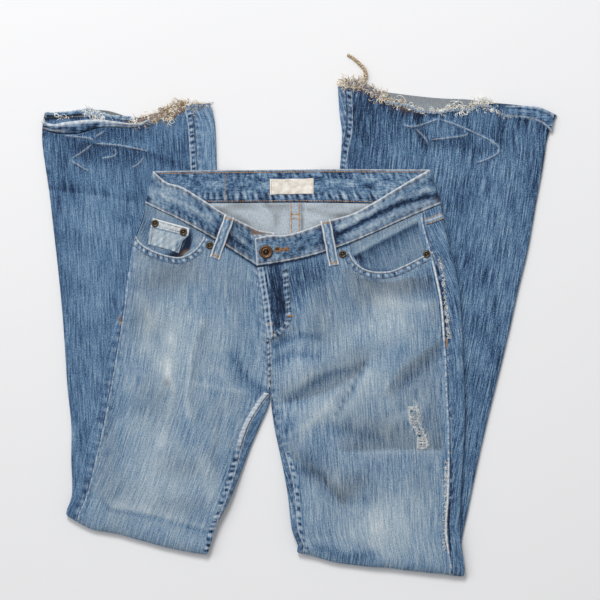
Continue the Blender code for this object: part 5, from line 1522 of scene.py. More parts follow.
def pocket_rim(side):
    """The opening's hemmed edge: a white rolled edge, puckers, and two rows of stitches."""
    line = shifted(RIM[side], -4.2)
    base, out, run, across = plan_strip(line, 9.4, front_face)
    wave = wobble(run + 2.5 * across, 7.5, 0.6 if side == "left" else 2.2)
    top = 0.55 + 0.5 * bell(across, 0.4, 0.1) + 0.3 * wave * bell(across, 0.0, 0.25)
    top = top - 0.3 * bell(across, 0.2, 0.06) - 0.9 * smoothstep(0.4, 0.5, -across)
    top = top - 0.25 * bell(across, -0.3, 0.06)
    # Painted shade: darker in its two grooves and at its lower edge, where it falls into the cloth.
    fade = 0.4 + 0.26 * wave * bell(across, 0.0, 0.25) - 0.3 * bell(across, 0.21, 0.06)
    fade = fade - 0.25 * bell(across, -0.31, 0.05) - 0.2 * smoothstep(0.42, 0.5, -across)
    wear_and_highlight = 0.85 * bell(across, 0.42, 0.09) * (0.75 + 0.25 * wobble(run, 6, 1.0))
    wear_and_highlight = wear_and_highlight + 0.3 * np.clip(wave, 0, 1) * bell(across, 0.0, 0.25)
    lay(f"pocket_rim_{side}", base, out, top, fade, wear_and_highlight, sunk=0.9)
    return rows_beside(RIM[side], (-2.4, -7.2), on_front)


FLY_EDGE = [(-53, 59), (-50, 40), (-46, 16), (-43.5, -6), (-40.5, -28)]
FLY_CURVE = [(-14, 58), (-13, 36), (-11, 14), (-10, -2), (-13, -13), (-21, -23), (-31, -29), (-39, -32)]
CENTRE_SEAM = [(-40, -31), (-38.5, -56), (-38, -72), (-37.5, -90)]


def fly():
    """The fly's worn front edge, its curved stitching, and the seam from its foot to the crotch."""
    base, out, run, across = plan_strip(shifted(FLY_EDGE, 5.2), 11.0, front_face, 19)
    wave = wobble(run + 2 * across, 7.2, 1.2)
    dashes = np.clip(0.3 - wave, 0, 1) * bell(across, -0.1, 0.06)
    top = 0.5 + 0.3 * bell(across, -0.36, 0.12) + 0.2 * bell(across, 0.14, 0.1) - 0.3 * dashes
    top = top - 0.9 * smoothstep(0.42, 0.5, np.abs(across))
    # Painted shade: dark dashes in the dips between puckers, and a dark line beside the fly's fold.
    fade = 0.44 + 0.16 * wave - 0.45 * dashes - 0.4 * bell(across, 0.36, 0.09)
    wear_and_highlight = 0.5 * bell(across, -0.34, 0.1) * (0.7 + 0.3 * wave) + 0.42 * bell(across, 0.14, 0.07)
    lay("fly_edge", base, out, top, fade, wear_and_highlight)
    base, out, run, across = plan_strip(shifted(FLY_CURVE, -3.5), 9.0, front_face)
    wave = wobble(run + 2 * across, 7.0, 1.7)
    dashes = np.clip(0.3 - wave, 0, 1) * (bell(across, 0.2, 0.1) + bell(across, -0.2, 0.1))
    top = 0.35 + 0.35 * wave * bell(across, 0, 0.3) - 0.9 * smoothstep(0.38, 0.5, np.abs(across))
    # Painted shade: dark dashes in the dips, and a dark line along its edge.
    fade = 0.36 + 0.16 * wave - 0.4 * dashes - 0.16 * bell(across, 0.36, 0.07)
    lay("fly_curve", base, out, top, fade, 0.3 * np.clip(wave, 0, 1) * bell(across, 0, 0.3))
    ladder("centre_seam", plan_strip(CENTRE_SEAM, 8.0, front_face), 0.36, 7.0, 0.9, 0.35, 0.45)
    return rows_beside(FLY_CURVE, (-0.8, -6.0), on_front) + rows_beside(CENTRE_SEAM, (1.8, -1.8), on_front)


THIGH_SEAM, LOW_THIGH_SEAM = (CROTCH_ROW + 0.35, FOLD_ROW + 0.3), (9.0, FOLD_ROW + 0.3)
CALF_SEAM = (FIRST_CALF_ROW + 0.02, LAST_ROW - 0.05)
HIP_SEAM, BELOW_HIP_SEAM = (0.05, CROTCH_ROW + 2), (CROTCH_ROW + 2, FOLD_ROW + 0.3)
FRAYED = ((-31, 62), (-294, -181))  # stretches of the left side seam, by Y
Inseam = namedtuple("Inseam", "side places front inward width fade period seed white solid drift")
INSEAMS = table(
    Inseam,
    ("right", THIGH_SEAM, True, 4.6, 10.2, 0.36, 8.0, 0.3, 0.5, 90, 6.5),
    ("left", LOW_THIGH_SEAM, True, 4.4, 8.6, 0.46, 9.8, 1.3, 0.3, 0, 0),
    ("right", CALF_SEAM, False, 4.6, 9.0, 0.34, 6.6, 2.3, 0.4, 0, 0),
    ("left", CALF_SEAM, False, 4.2, 8.0, 0.3, 7.0, 0.8, 0.3, 0, 0),
)
SideSeam = namedtuple("SideSeam", "name side places inward width fade seed white half frayed")
SIDE_SEAMS = table(
    SideSeam,
    ("right", "right", HIP_SEAM, 1.8, 5.0, 0.42, 1.1, 0.5, 0.14, ()),
    ("low_right", "right", BELOW_HIP_SEAM, 1.8, 5.0, 0.44, 2.1, 0.55, 0.14, ()),
    ("left", "left", HIP_SEAM, 2.0, 11.0, 0.42, 3.1, 0.85, 0.08, FRAYED),
    ("low_left", "left", BELOW_HIP_SEAM, 2.0, 11.0, 0.42, 0.7, 0.8, 0.08, FRAYED),
)


def leg_seams():
    """Inseams and side seams, each puckered or worn as its stretch is."""
    for seam in INSEAMS:
        name = f"inseam_{'thigh' if seam.front else 'calf'}_{seam.side}"
        grid = ring_strip(seam.side, seam.places, seam.front, "in", seam.inward, seam.width, seam.drift)
        ladder(name, grid, seam.fade, seam.period, seam.seed, seam.white, solid=seam.solid)
    for seam in SIDE_SEAMS:
        grid = ring_strip(seam.side, seam.places, True, "side", seam.inward, seam.width)
        worn_edge(f"side_seam_{seam.name}", grid, seam.fade, seam.seed, seam.white, seam.half, seam.frayed)


YOKE_SEAM = [(155.5, 116.5), (167, 119.5), (179, 124.5)]


def side_yoke_seam():
    """The end of the left yoke's seam, folded round to the front: a ridge with two rows of stitches."""
    base, out, run, across = plan_strip(YOKE_SEAM, 11.0, front_face)
    ends = smoothstep(0, 2.5, run) * smoothstep(0, 2.5, run[-1, 0] - run)
    top = (0.2 + 0.5 * bell(across, 0, 0.3)) * ends - 0.6 * smoothstep(0.4, 0.5, np.abs(across))
    # Painted shade: darker along both edges, where the ridge falls to the cloth.
    fade = 0.4 - 0.3 * bell(across, -0.44, 0.08) - 0.2 * bell(across, 0.44, 0.08) + 0.1 * wobble(run, 7, 0.4)
    lay("side_yoke_seam", base, out, top - 0.3 * (1 - ends), fade, 0.4 * bell(across, 0.05, 0.14))
    return rows_beside(YOKE_SEAM, (3.2, -3.2), above(front_face, 0.6))


Loop = namedtuple("Loop", "node top foot over")
BELT_LOOPS = table(
    Loop,
    ("belt_loop_right", (-87, 123.5), (-106, 71), 0.74),
    ("belt_loop_left", (32.5, 118.5), (43, 62), 0.72),
)
LOOP_WIDTH, LOOP_THICK = 13.0, 1.6
TACK_HALF, TACK_PITCH = 1.1, 0.85


def belt_loop(loop):
    """A folded strip over the band, arched off it, with white edges; gives a tack at both ends."""
    start, end = np.array(loop.top, float), np.array(loop.foot, float)
    length = np.hypot(*(end - start))
    way = (end - start) / length
    beside_way = np.array([way[1], -way[0]])
    share = np.linspace(0, 1, 84)[:, None]
    across = np.linspace(-0.5, 0.5, 21)[None, :]
    run = share * length
    sideways = across * LOOP_WIDTH + 0.35 * wobble(run, 19, loop.over * 9)
    flat = start + way * run[..., None] + beside_way * sideways[..., None]
    x, y = plan(flat)
    on_band = 1 - smoothstep(loop.over + 0.03, loop.over + 0.16, share)
    arch = np.sin(np.pi * np.clip(share / loop.over, 0, 1))
    low = front_top(x, y) + SEAM_GAP + (BAND_PROUD + 0.1) * on_band + arch
    edge = 0.5 - np.abs(across)
    relief = 0.3 * bell(edge, 0.1, 0.06) - 0.35 * bell(edge, 0.22, 0.05) + 0.3 * bell(across, 0, 0.14)
    relief = relief + 0.14 * wobble(run + 3 * across, 6.5, loop.over * 5) * bell(across, 0, 0.2)
    relief = relief - 0.9 * smoothstep(0.06, 0.0, edge)
    relief = relief - 0.6 * smoothstep(0.03, 0.0, share) - 0.6 * smoothstep(0.97, 1.0, share)
    high = low + LOOP_THICK - 0.2 + relief
    low = low + 0.4 * smoothstep(0.06, 0.0, edge)
    patchy = wobble(run, 11, 1.2) * wobble(across * 13, 5, 2.0)
    # Painted light and shade: darker in the grooves inside the edges and at the very sides, paler on the
    # middle ridge.
    fade = 0.46 + 0.2 * patchy - 0.22 * bell(edge, 0.22, 0.05) + 0.12 * bell(across, 0, 0.12)
    ends = np.maximum(smoothstep(0.1, 0.03, share), smoothstep(0.92, 0.98, share))
    wear_and_highlight = 0.8 * bell(edge, 0.07, 0.08) + 0.25 * ends + 0.2 * np.clip(patchy, 0, 1)
    looks = {"fade": fade - 0.4 * smoothstep(0.035, 0.0, edge), "wear_and_highlight": wear_and_highlight, "grey_and_shade": 0.12, "streaky": -0.3,
             "rumpled": 0.6}
    cloth(f"cloth_{loop.node}", at_height(flat, high), at_height(flat, low),
          (across * LOOP_WIDTH + GRAIN["loop"], run), looks, loop.node)
    tacks = []
    for at, proud in ((0.06, BAND_PROUD + 0.1), (0.94, 0.0)):
        middle = start + way * length * at
        lift = LOOP_THICK + SEAM_GAP + proud + np.sin(np.pi * min(1, at / loop.over))
        tacks.append((middle - beside_way * 4.4, middle + beside_way * 4.4, above(front_top, lift + 0.05)))
    return tacks


def tack_lines(tacks):
    """Bar tacks: short stitches side by side, each across its bar's own line."""
    rows = []
    for start, end, surface in tacks:
        start, end = np.asarray(start, float), np.asarray(end, float)
        way = (end - start) / np.hypot(*(end - start))
        left = np.array([-way[1], way[0]]) * TACK_HALF
        for at in np.arange(0, np.hypot(*(end - start)), TACK_PITCH):
            middle = start + way * at
            rows.append(Stitching([middle - left, middle, middle + left], surface))
    return rows


def between_corners(corners, s, t):
    """Places inside four corners in plan: s along the first edge, and t from it to the opposite."""
    a, b, c, d = np.array(corners, float)[:, :, None, None]
    return (a * (1 - s) + b * s) * (1 - t) + (d * (1 - s) + c * s) * t


COIN_CORNERS = ((-183, 121), (-137.5, 108.6), (-143, 77), (-189, 88))
COIN_WIDTH, COIN_DEPTH, COIN_THICK = 47, 31, 1.0
COIN_TUCK = 8.0  # how far its lower inner corner draws in
COIN_FOLDS = table(
    Fold,
    ([(-168, 108), (-172, 84)], 0.8, 4), ([(-152, 100), (-150, 80)], -0.7, 4),
    ([(-180, 104), (-176, 90)], -0.5, 3.5),
)


def coin_seat(x, y):
    """Height at which the coin pocket lies: just over the right facing."""
    return front_top(x, y) - facing_depth("right", x, y) + SEAM_GAP


def coin_pocket():
    """The small pocket in the right opening: a body with a hemmed band along its top."""
    (ax, ay), (bx, by), (cx, cy), (dx, dy) = COIN_CORNERS
    s, t = np.meshgrid(np.linspace(0, 1, 60), np.linspace(0, 1, 50))
    x, y = between_corners(COIN_CORNERS, s, t)
    x = x + 2.0 * np.sin(np.pi * t) * (s - 0.5)
    x = x - COIN_TUCK * s ** 3 * (0.75 * smoothstep(0.27, 0.55, t) + 0.25 * t)
    run_s, run_t = s * COIN_WIDTH, t * COIN_DEPTH
    low = coin_seat(x, y)
    band = 1 - smoothstep(9.0, 10.0, run_t)
    edge = np.minimum(run_s, COIN_WIDTH - run_s)
    relief = 0.55 * band + 0.3 * bell(run_t, 0.8, 0.9) - 0.3 * bell(run_t, 2.8, 0.6)
    relief = relief - 0.3 * bell(run_t, 7.6, 0.6) - 0.25 * bell(edge, 2.8, 0.7) * (1 - band)
    relief = relief + 0.5 * fold_height(COIN_FOLDS, x, y) + 0.12 * wobble(run_s, 7, 0.4)
    relief = relief - 0.5 * smoothstep(0.8, 0.0, np.minimum(edge, np.minimum(run_t, COIN_DEPTH - run_t)))
    high = low + COIN_THICK - 0.1 + relief
    patchy = wobble(run_s + 0.4 * run_t, 9, 0.9) * wobble(run_t, 13, 0.2)
    # Painted shade: darker in the grooves, under the band's edge and in the drawn-in lower corner.
    fade = 0.74 + 0.3 * patchy + 0.12 * band - 0.3 * bell(run_s, 41, 3) * bell(run_t, 24, 6)
    fade = fade - 0.3 * bell(run_t, 10.4, 0.8) - 0.22 * bell(edge, 2.8, 0.6)
    fade = fade - 0.2 * bell(run_t, 2.8, 0.5) - 0.2 * bell(run_t, 7.6, 0.5)
    wear_and_highlight = 0.7 * bell(run_t, 0.6, 1.1) + (0.15 + 0.4 * band) * bell(edge, 0.5, 1.0) + 0.24 * band
    looks = {"fade": fade, "wear_and_highlight": wear_and_highlight + 0.2 * np.clip(patchy, 0, 1), "grey_and_shade": 0.2, "streaky": -0.3}
    cloth("cloth_coin_pocket", np.stack([x, y, high], -1), np.stack([x, y, low], -1),
          (run_s + GRAIN["coin pocket"], run_t), looks, "coin_pocket")
    top = np.array([(ax, ay), (bx, by)], float)
    down = np.array([dx - ax, dy - ay], float) / np.hypot(dx - ax, dy - ay)
    inset = np.array([[2, 0], [-2, 0]])
    lines = [top + down * 2.6 + inset, top + down * 7.8 + inset, [(ax + 2.4, ay - 10), (dx + 2.8, dy + 3)],
             [(bx - 2.4 - COIN_TUCK, by - 17), (cx - 2.4 - COIN_TUCK, cy + 3)]]
    return [Stitching(line, above(coin_seat, COIN_THICK + 0.35)) for line in lines]


LABEL_CORNERS = ((-37, 170), (17.5, 171), (17.5, 152), (-37, 151))
LABEL_WIDTH, LABEL_DEPTH, LABEL_THICK, LABEL_GAP = 54, 19, 0.7, 0.6


def size_label():
    """The blank woven label, slightly wavy, on the back band; gives the stitches at its ends."""
    (ax, ay), (bx, by), (cx, cy), (dx, dy) = LABEL_CORNERS
    s, t = np.meshgrid(np.linspace(0, 1, 70), np.linspace(0, 1, 28))
    run_s, run_t = s * LABEL_WIDTH, t * LABEL_DEPTH
    x, y = between_corners(LABEL_CORNERS, s, t)
    y = y + 0.35 * wobble(run_s, 23, 0.5) * (0.5 - t) * 2
    low = band_inside(x, y) + LABEL_GAP
    edge = np.minimum(np.minimum(s, 1 - s) * LABEL_WIDTH, np.minimum(t, 1 - t) * LABEL_DEPTH)
    crumple = 0.22 * wobble(run_s + t * 9, 15, 1.9) + 0.12 * wobble(run_t + s * 7, 8, 0.3)
    high = low + LABEL_THICK + crumple * smoothstep(0, 3, edge) - 0.3 * smoothstep(0.7, 0, edge)
    cloth("woven_label", np.stack([x, y, high], -1), np.stack([x, y, low], -1), (run_s, run_t), {},
          "size_label", material=LABEL_LOOK)
    lines = [(ax + 1.6, ay - 1), (dx + 1.6, dy + 1)], [(bx - 1.6, by - 1), (cx - 1.6, cy + 1)]
    return [Stitching(line, above(band_inside, LABEL_GAP + LABEL_THICK + 0.25)) for line in lines]


# Rows from the middle underneath to the middle on top: radius, height, and darkening (partly grime, partly
# painted shade in the hollows and at the foot)
BUTTON_PROFILE = [
    (0, 0, 0), (8.3, 0, 0.6), (8.5, 0.5, 0.5), (8.4, 1.2, 0.3), (7.8, 1.8, 0), (6.9, 2.05, 0),
    (6.1, 1.8, 0), (5.6, 1.4, 0.1), (5.0, 1.15, 0.2), (4.5, 1.1, 0.2), (4.1, 1.3, 0.0), (3.6, 1.5, 0.1),
    (3.2, 1.2, 0.8), (2.8, 0.6, 1.0), (1.9, 0.4, 1.0), (1.4, 0.5, 0.7), (0.9, 0.7, 0), (0, 0.75, 0),
]
RIVET_PROFILE = [
    (0, 0, 0), (4.6, 0, 0.8), (4.7, 0.35, 0.6), (4.4, 0.85, 0.2), (3.7, 1.15, 0), (2.9, 1.1, 0.2),
    (2.2, 0.75, 0.8), (1.6, 0.55, 1.0), (1.1, 0.75, 0.5), (0.7, 0.95, 0.1), (0, 1.0, 0.1),
]
RIVETS = ("rivet_coin_outer", "rivet_coin_inner", "rivet_right_pocket", "rivet_left_pocket_inner",
          "rivet_left_pocket_outer")
COIN_RIVET_SHIFTS = {"rivet_coin_outer": (-4.5, 2.6), "rivet_coin_inner": (-0.2, 2.8)}
TURNED_SIDES = 48


def turned(name, centre, z, profile, material):
    """A turned metal piece: its profile is a table of radius, height and darkening, partly grime and partly
    painted shade.
    """
    rings = np.array(profile, float)
    angle = np.arange(TURNED_SIDES) * 2 * np.pi / TURNED_SIDES
    xy = rings[:, None, :1] * np.stack([np.cos(angle), np.sin(angle)], axis=1)[None] + np.array(centre, float)
    points = at_height(xy, np.broadcast_to(rings[:, 1:2] + z, xy.shape[:2])).reshape(-1, 3)
    index = np.arange(len(rings) * TURNED_SIDES).reshape(len(rings), TURNED_SIDES)
    index[0], index[-1] = index[0, 0], index[-1, 0]  # one point at each pole
    walls = tube_walls(index)
    faces = np.concatenate([walls[:, [0, 1, 2]], walls[:, [0, 2, 3]]])
    apart = (faces[:, 0] != faces[:, 1]) & (faces[:, 1] != faces[:, 2]) & (faces[:, 2] != faces[:, 0])
    grime_and_shade = np.repeat(rings[:, 2], TURNED_SIDES)
    return mesh_object(name, points, faces[apart], material, {"grime_and_shade": grime_and_shade}, smooth_angle=0.7)


def metal_trims():
    """The waist button and the five rivets, each where its solid sits."""
    for name in ("waist_button", *RIVETS):
        profile, look = (RIVET_PROFILE, BRASS) if name in RIVETS else (BUTTON_PROFILE, COPPER)
        low, high = (np.array(corner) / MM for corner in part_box(name))
        centre = ((low + high) / 2)[:2] + COIN_RIVET_SHIFTS.get(name, 0)
        stand_for(turned(f"metal_{name}", centre, low[2], profile, look), name)


BUTTONHOLE = [(-29, 80.8), (-24, 81.6), (-13, 82.6)]


def buttonhole():
    """A worked hole beside the button: thread laid densely across two close lines and an eye."""
    angle = np.linspace(0.35 * np.pi, 1.65 * np.pi, 13)
    eye = np.stack([-27.5 + 3.0 * np.cos(angle), 81.8 + 2.6 * np.sin(angle)], axis=1)
    rows = []
    for line in (shifted(BUTTONHOLE, 1.2), shifted(BUTTONHOLE, -1.2), eye):
        fine = smooth_line(line, 0.62)
        for middle, way in zip(fine, line_sides(fine)[1]):
            rows.append(Stitching([middle - way * 1.15, middle, middle + way * 1.15], above(band_face, 0.25)))
    return rows


def band_stitching():
    """Rows of stitches along the band: brown ones on its front, orange ones inside its back."""
    front = []
    for side, last in (("right", 0.93), ("left", 0.985)):
        along = np.linspace(0.04, last, 60)
        seam, top = waist_line(side, along), band_top_line(BAND_TOP[side], along)
        for part in (0.105, 0.895):
            front.append(Stitching(seam * (1 - part) + top * part, above(band_face, -0.05)))
    along = np.linspace(0.02, 0.98, 90)
    back = [Stitching(back_band_flat(along, np.array([part])[:, None, None])[0], above(band_inside, -0.05))
            for part in (0.05, 0.92)]
    back.append(Stitching([(-93, 176), (-93.5, 160), (-93, 144)], above(band_inside, 0.1)))
    return front, back


# ---------------------------------------------------------------- worn creases, rip, hems and frays


def crease_ridges():
    """Fine ridges along the calves' sharp creases, each worn a little paler along its top."""
    for number, fold in enumerate(CALF_CREASES):
        base, out, run, across = plan_strip(fold.points, 7.0, calf_face, 15)
        ends = smoothstep(0, 7, run) * smoothstep(0, 7, run[-1, 0] - run)
        patchy = 0.8 + 0.2 * wobble(run, 9, number + 0.5)
        top = (0.75 * bell(across, 0, 0.12) + 0.25) * ends - 0.35 * (1 - ends)
        top = top - 0.6 * smoothstep(0.3, 0.5, np.abs(across))
        fade = calf_fade_and_shade(*plan(base)) + 0.08 * bell(across, 0, 0.2)
        lay(f"crease_ridge_{number}", base, out, top, fade, 0.36 * patchy * bell(across, 0, 0.12) * ends)


def between_lines(first, second, count, across, height):
    """A grid between two lines in plan: rows along them and columns from the first to the second."""
    evens = [smooth_line(line, 1.0) for line in (first, second)]
    lines = [read_rows(even, np.linspace(0, len(even) - 1, count)) for even in evens]
    share = np.linspace(0, 1, across)[None, :, None]
    flat = lines[0][:, None, :] * (1 - share) + lines[1][:, None, :] * share
    return flat, height(*plan(flat))


def rolled_band(name, first, second, height, depth, bulge, fade, wear_and_highlight, tan=None, grey_and_shade=0.0, count=150):
    """A hem's folded band: it swells between its lines, and both of its edges turn down."""
    flat, z = between_lines(first, second, count, 17, height)
    share = np.linspace(0, 1, 17)[None, :]
    x = flat[..., 0]
    wave = wobble(x, 13, bulge) * 0.25 + wobble(x + 20 * share, 7, 1.3) * 0.15
    top = bulge * np.sin(np.pi * np.clip(share, 0, 1)) ** 0.5 + wave * np.sin(np.pi * share)
    looks = {"fade": fade(x, share), "wear_and_highlight": wear_and_highlight(x, share), "grey_and_shade": grey_and_shade}
    if tan:
        looks["tan"] = tan(x, share)
    cloth(name, at_height(flat, z + top), at_height(flat, z - depth), (flat[..., 1] + GRAIN["hem"], x), looks)


RIGHT_LIP = [(-321, 243), (-309, 239), (-290, 242), (-259, 245), (-234, 243), (-212, 240), (-199, 241),
             (-188, 246)]
RIGHT_BAND_FOOT = [(-322, 231), (-303, 227), (-281, 226), (-262, 231), (-243, 235), (-218, 234),
                   (-202, 235), (-186, 240)]
RIGHT_FAR = [(-319, 254), (-299, 254.5), (-281, 256.5), (-264, 259), (-249, 255), (-237, 251),
             (-214, 249), (-200, 247)]
RIGHT_FAR_FOOT = [(-317, 249), (-300, 249.5), (-281, 250.5), (-264, 252), (-250, 248), (-237, 245),
                  (-216, 243), (-203, 243)]
LEFT_BAND_TOP = [(258, 262), (276, 262), (300, 260), (319, 252)]
LEFT_BAND_FOOT = [(262, 249), (280, 247), (297, 243), (309, 236), (315, 229)]
FAR_HEIGHT = 3.4


def hem_bands():
    """What is left of both hems' folded bands: near and far ones on the right, one on the left."""
    # The right and far bands darken towards their foot, and the right band's lower half at its outer end:
    # painted shade where they turn down.
    rolled_band(
        "hem_band_right", RIGHT_LIP, RIGHT_BAND_FOOT, calf_face, 1.5, 2.6,
        lambda x, t: 0.42 + 0.1 * smoothstep(-262, -240, x) - 0.36 * smoothstep(0.78, 1, t)
        - 0.26 * smoothstep(0.35, 0.6, t) * (1 - smoothstep(-258, -236, x))
        + 0.16 * wobble(x, 9, 0.3) + 0.1 * wobble(x + 30 * t, 21, 1.3) - 0.16 * bell(t, 0.42, 0.1),
        lambda x, t: 0.95 * bell(t, 0.06, 0.2) * (0.7 + 0.3 * wobble(x, 8, 2.0))
        + 0.3 * bell(t, 0.72, 0.1) * (1 - smoothstep(-300, -285, x)),
        lambda x, t: 0.2 * smoothstep(-262, -222, x) * (1 - 0.5 * smoothstep(0.6, 1, t)), 0.1,
    )
    rolled_band(
        "hem_far_right", RIGHT_FAR, RIGHT_FAR_FOOT, lambda x, y: FAR_HEIGHT + 0 * x, 2.2, 0.8,
        lambda x, t: 0.4 - 0.35 * smoothstep(0.6, 1, t) + 0.16 * wobble(x, 11, 1.2),
        lambda x, t: 0.75 * bell(t, 0.1, 0.14) * (0.5 + 0.5 * wobble(x, 6, 0.8)),
    )
    rolled_band(
        "hem_band_left", LEFT_BAND_TOP, LEFT_BAND_FOOT, calf_face, 2.2, 1.6,
        lambda x, t: 0.34 + 0.14 * wobble(x, 9, 0.3) - 0.2 * bell(t, 0.25, 0.08) - 0.2 * bell(t, 0.8, 0.07),
        lambda x, t: 0.6 * bell(t, 0.94, 0.08) * (0.6 + 0.4 * wobble(x, 5, 0.1))
        + 0.5 * bell(t, 0.05, 0.1) * (0.5 + 0.5 * wobble(x, 7, 0.8)),
        count=70,
    )


# A tuft of loose threads: a line they grow from, how thick it is, and the threads' own sizes
Tuft = namedtuple("Tuft", "points spread count length curl tan rise lean thick")
TUFTS = {
    "right": table(
        Tuft,
        ([(-320, 243), (-309, 239), (-290, 242)], 2, 70, 4, 1.2, -0.15, 1.0, 0.1, 0.8),
        ([(-306, 250), (-298, 246), (-288, 243)], 2, 30, 6, 1.6, -0.1, 1.6, -0.2, 1.2),
        ([(-268, 252), (-258, 253), (-248, 248)], 4, 120, 6, 1.8, -0.1, 2.0, 0.1, 1.1),
        ([(-268, 244), (-247, 244), (-225, 243), (-206, 241)], 2, 90, 5, 1.4, 0.1, 1.4, 0.0, 0.9),
        ([(-212, 239), (-196, 243), (-184, 246), (-170, 248),
         (-158, 246)], 6, 400, 6, 1.8, 0.55, 2.4, 0.0, 1.2),
        ([(-172, 250), (-160, 255), (-150, 261), (-140, 262)], 7, 360, 6, 1.8, 0.65, 2.4, 0.1, 1.2),
        ([(-146, 259), (-134, 261), (-122, 262), (-112, 263)], 3.5, 170, 4.5, 1.5, 0.35, 1.6, 0.1, 0.8),
        ([(-150, 256), (-136, 254), (-126, 252)], 4, 120, 6, 1.5, 0.7, 1.6, -0.3, 1.0),
        ([(-190, 240), (-176, 243), (-160, 244), (-150, 249)], 3, 150, 6, 1.5, 0.8, 1.4, -0.2, 1.0),
        ([(-320, 232), (-303, 228), (-285, 227)], 1, 26, 4, 1.2, 0.0, 1.0, -0.4, 0.6),
    ),
    "left": table(
        Tuft,
        ([(54, 287), (62, 289), (71, 289), (80, 286)], 7, 380, 6, 1.8, 0.5, 2.8, 0.0, 1.0),
        ([(80, 285), (90, 280), (99, 275), (104, 269)], 4.5, 220, 6, 1.8, 0.5, 2.4, -0.1, 1.0),
        ([(100, 272), (110, 266), (122, 264), (134, 263)], 3, 110, 5, 1.8, 0.4, 2.2, 0.0, 0.8),
        ([(134, 262), (146, 256), (160, 252), (176, 254)], 3, 190, 4, 1.4, 0.1, 1.6, -0.1, 0.9),
        ([(174, 254), (190, 257), (206, 254), (216, 256)], 3, 160, 4.5, 1.5, 0.0, 1.8, 0.0, 0.9),
        ([(200, 268), (190, 262), (180, 256)], 1.5, 20, 8, 1.5, 0.0, 2.0, -0.6, 0.9),
        ([(214, 262), (228, 268), (240, 262), (250, 254)], 4, 190, 5, 1.8, 0.05, 2.0, 0.1, 0.9),
        ([(222, 258), (234, 256), (250, 250)], 3, 90, 5, 1.8, 0.05, 2.0, -0.1, 0.9),
        ([(248, 253), (258, 249), (270, 247)], 2.5, 100, 4.5, 1.4, 0.0, 1.8, -0.3, 0.9),
        ([(268, 247), (284, 245), (300, 241), (312, 233)], 1, 110, 3, 1.0, -0.1, 1.0, -0.3, 0.6),
    ),
}
CURLS = {
    "right": table(
        Tuft,
        ([(-208, 240), (-190, 244), (-172, 248), (-158, 248)], 5, 70, 6, 2.8, 0.25, 3.0, -0.1, 1.5),
        ([(-170, 252), (-158, 256), (-148, 262), (-128, 262)], 5, 60, 6, 2.8, 0.35, 3.0, 0.0, 1.4),
        ([(-268, 250), (-256, 252), (-246, 246)], 3, 14, 6, 2.4, -0.1, 2.4, 0.0, 1.6),
        ([(-304, 249), (-292, 244)], 2, 7, 6, 2.4, -0.1, 2.0, -0.1, 1.5),
    ),
    "left": table(
        Tuft,
        ([(54, 287), (62, 291), (71, 292), (80, 288)], 5, 46, 5, 3.0, 0.3, 3.2, 0.1, 1.5),
        ([(82, 286), (92, 280), (102, 274), (112, 268)], 4, 34, 8, 3.2, 0.25, 3.2, 0.0, 1.5),
        ([(104, 272), (116, 267), (134, 263)], 4, 18, 9, 3.4, 0.25, 3.0, 0.1, 1.3),
        ([(138, 260), (152, 254), (172, 253)], 2, 24, 5, 2.4, 0.0, 2.4, 0.0, 1.4),
        ([(176, 254), (192, 257), (212, 256)], 3, 22, 6, 2.6, -0.1, 2.6, 0.1, 1.4),
        ([(220, 263), (232, 266), (246, 256)], 4, 30, 6, 2.8, 0.05, 2.8, 0.0, 1.5),
    ),
}
FRAY_HEIGHT = 3.6


def grown(tufts, chance):
    """Roots, ways, lengths, widths, curls and tans of threads, at random along the tufts' lines."""
    grown_threads = []
    for tuft in tufts:
        line = smooth_line(tuft.points, 0.5)
        left = line_sides(line)[1]
        pick = chance.integers(0, len(line), tuft.count)
        xy = line[pick] + left[pick] * chance.normal(0, 0.5, (tuft.count, 1)) * tuft.spread
        xy = xy + chance.normal(0, 0.8, xy.shape)
        height = FRAY_HEIGHT + tuft.rise * chance.uniform(-0.6, 1.0, tuft.count)
        angle = chance.uniform(0, 2 * np.pi, tuft.count)
        grown_threads.append((
            np.column_stack([xy, height]),
            np.column_stack([np.cos(angle), np.sin(angle) * 0.8 + tuft.lean,
                             chance.normal(0, 0.2, tuft.count)]),
            tuft.length * chance.uniform(0.35, 1.15, tuft.count),
            tuft.thick * chance.uniform(0.6, 1.3, tuft.count),
            tuft.curl * chance.uniform(0.3, 1.1, tuft.count),
            np.clip(tuft.tan + chance.normal(0, 0.3, tuft.count), 0, 1),
        ))
    return [np.concatenate(values) for values in zip(*grown_threads)]


# A matted strip under loose threads: its line, its width, its tan, and its fading; the low fadings are partly
# painted shade under the threads.
FrayBed = namedtuple("FrayBed", "points width tan fade")
FRAY_BEDS = {
    "right": table(
        FrayBed,
        ([(-207, 240), (-196, 243), (-184, 247), (-170, 250), (-158, 251), (-148, 257),
         (-138, 260)], 9.0, 0.5, 0.12),
        ([(-146, 259), (-134, 261), (-116, 262)], 5.0, 0.1, 0.34),
        ([(-270, 250), (-258, 252), (-246, 247)], 6.0, 0.1, 0.6),
    ),
    "left": table(
        FrayBed,
        ([(53, 286), (62, 289), (71, 290), (82, 286), (92, 280), (102, 272)], 8.0, 0.4, 0.24),
        ([(100, 272), (112, 266), (134, 262), (150, 255), (174, 253), (192, 256), (214, 257),
         (226, 262), (238, 261), (252, 252), (268, 246)], 4.0, 0.15, 0.5),
    ),
}


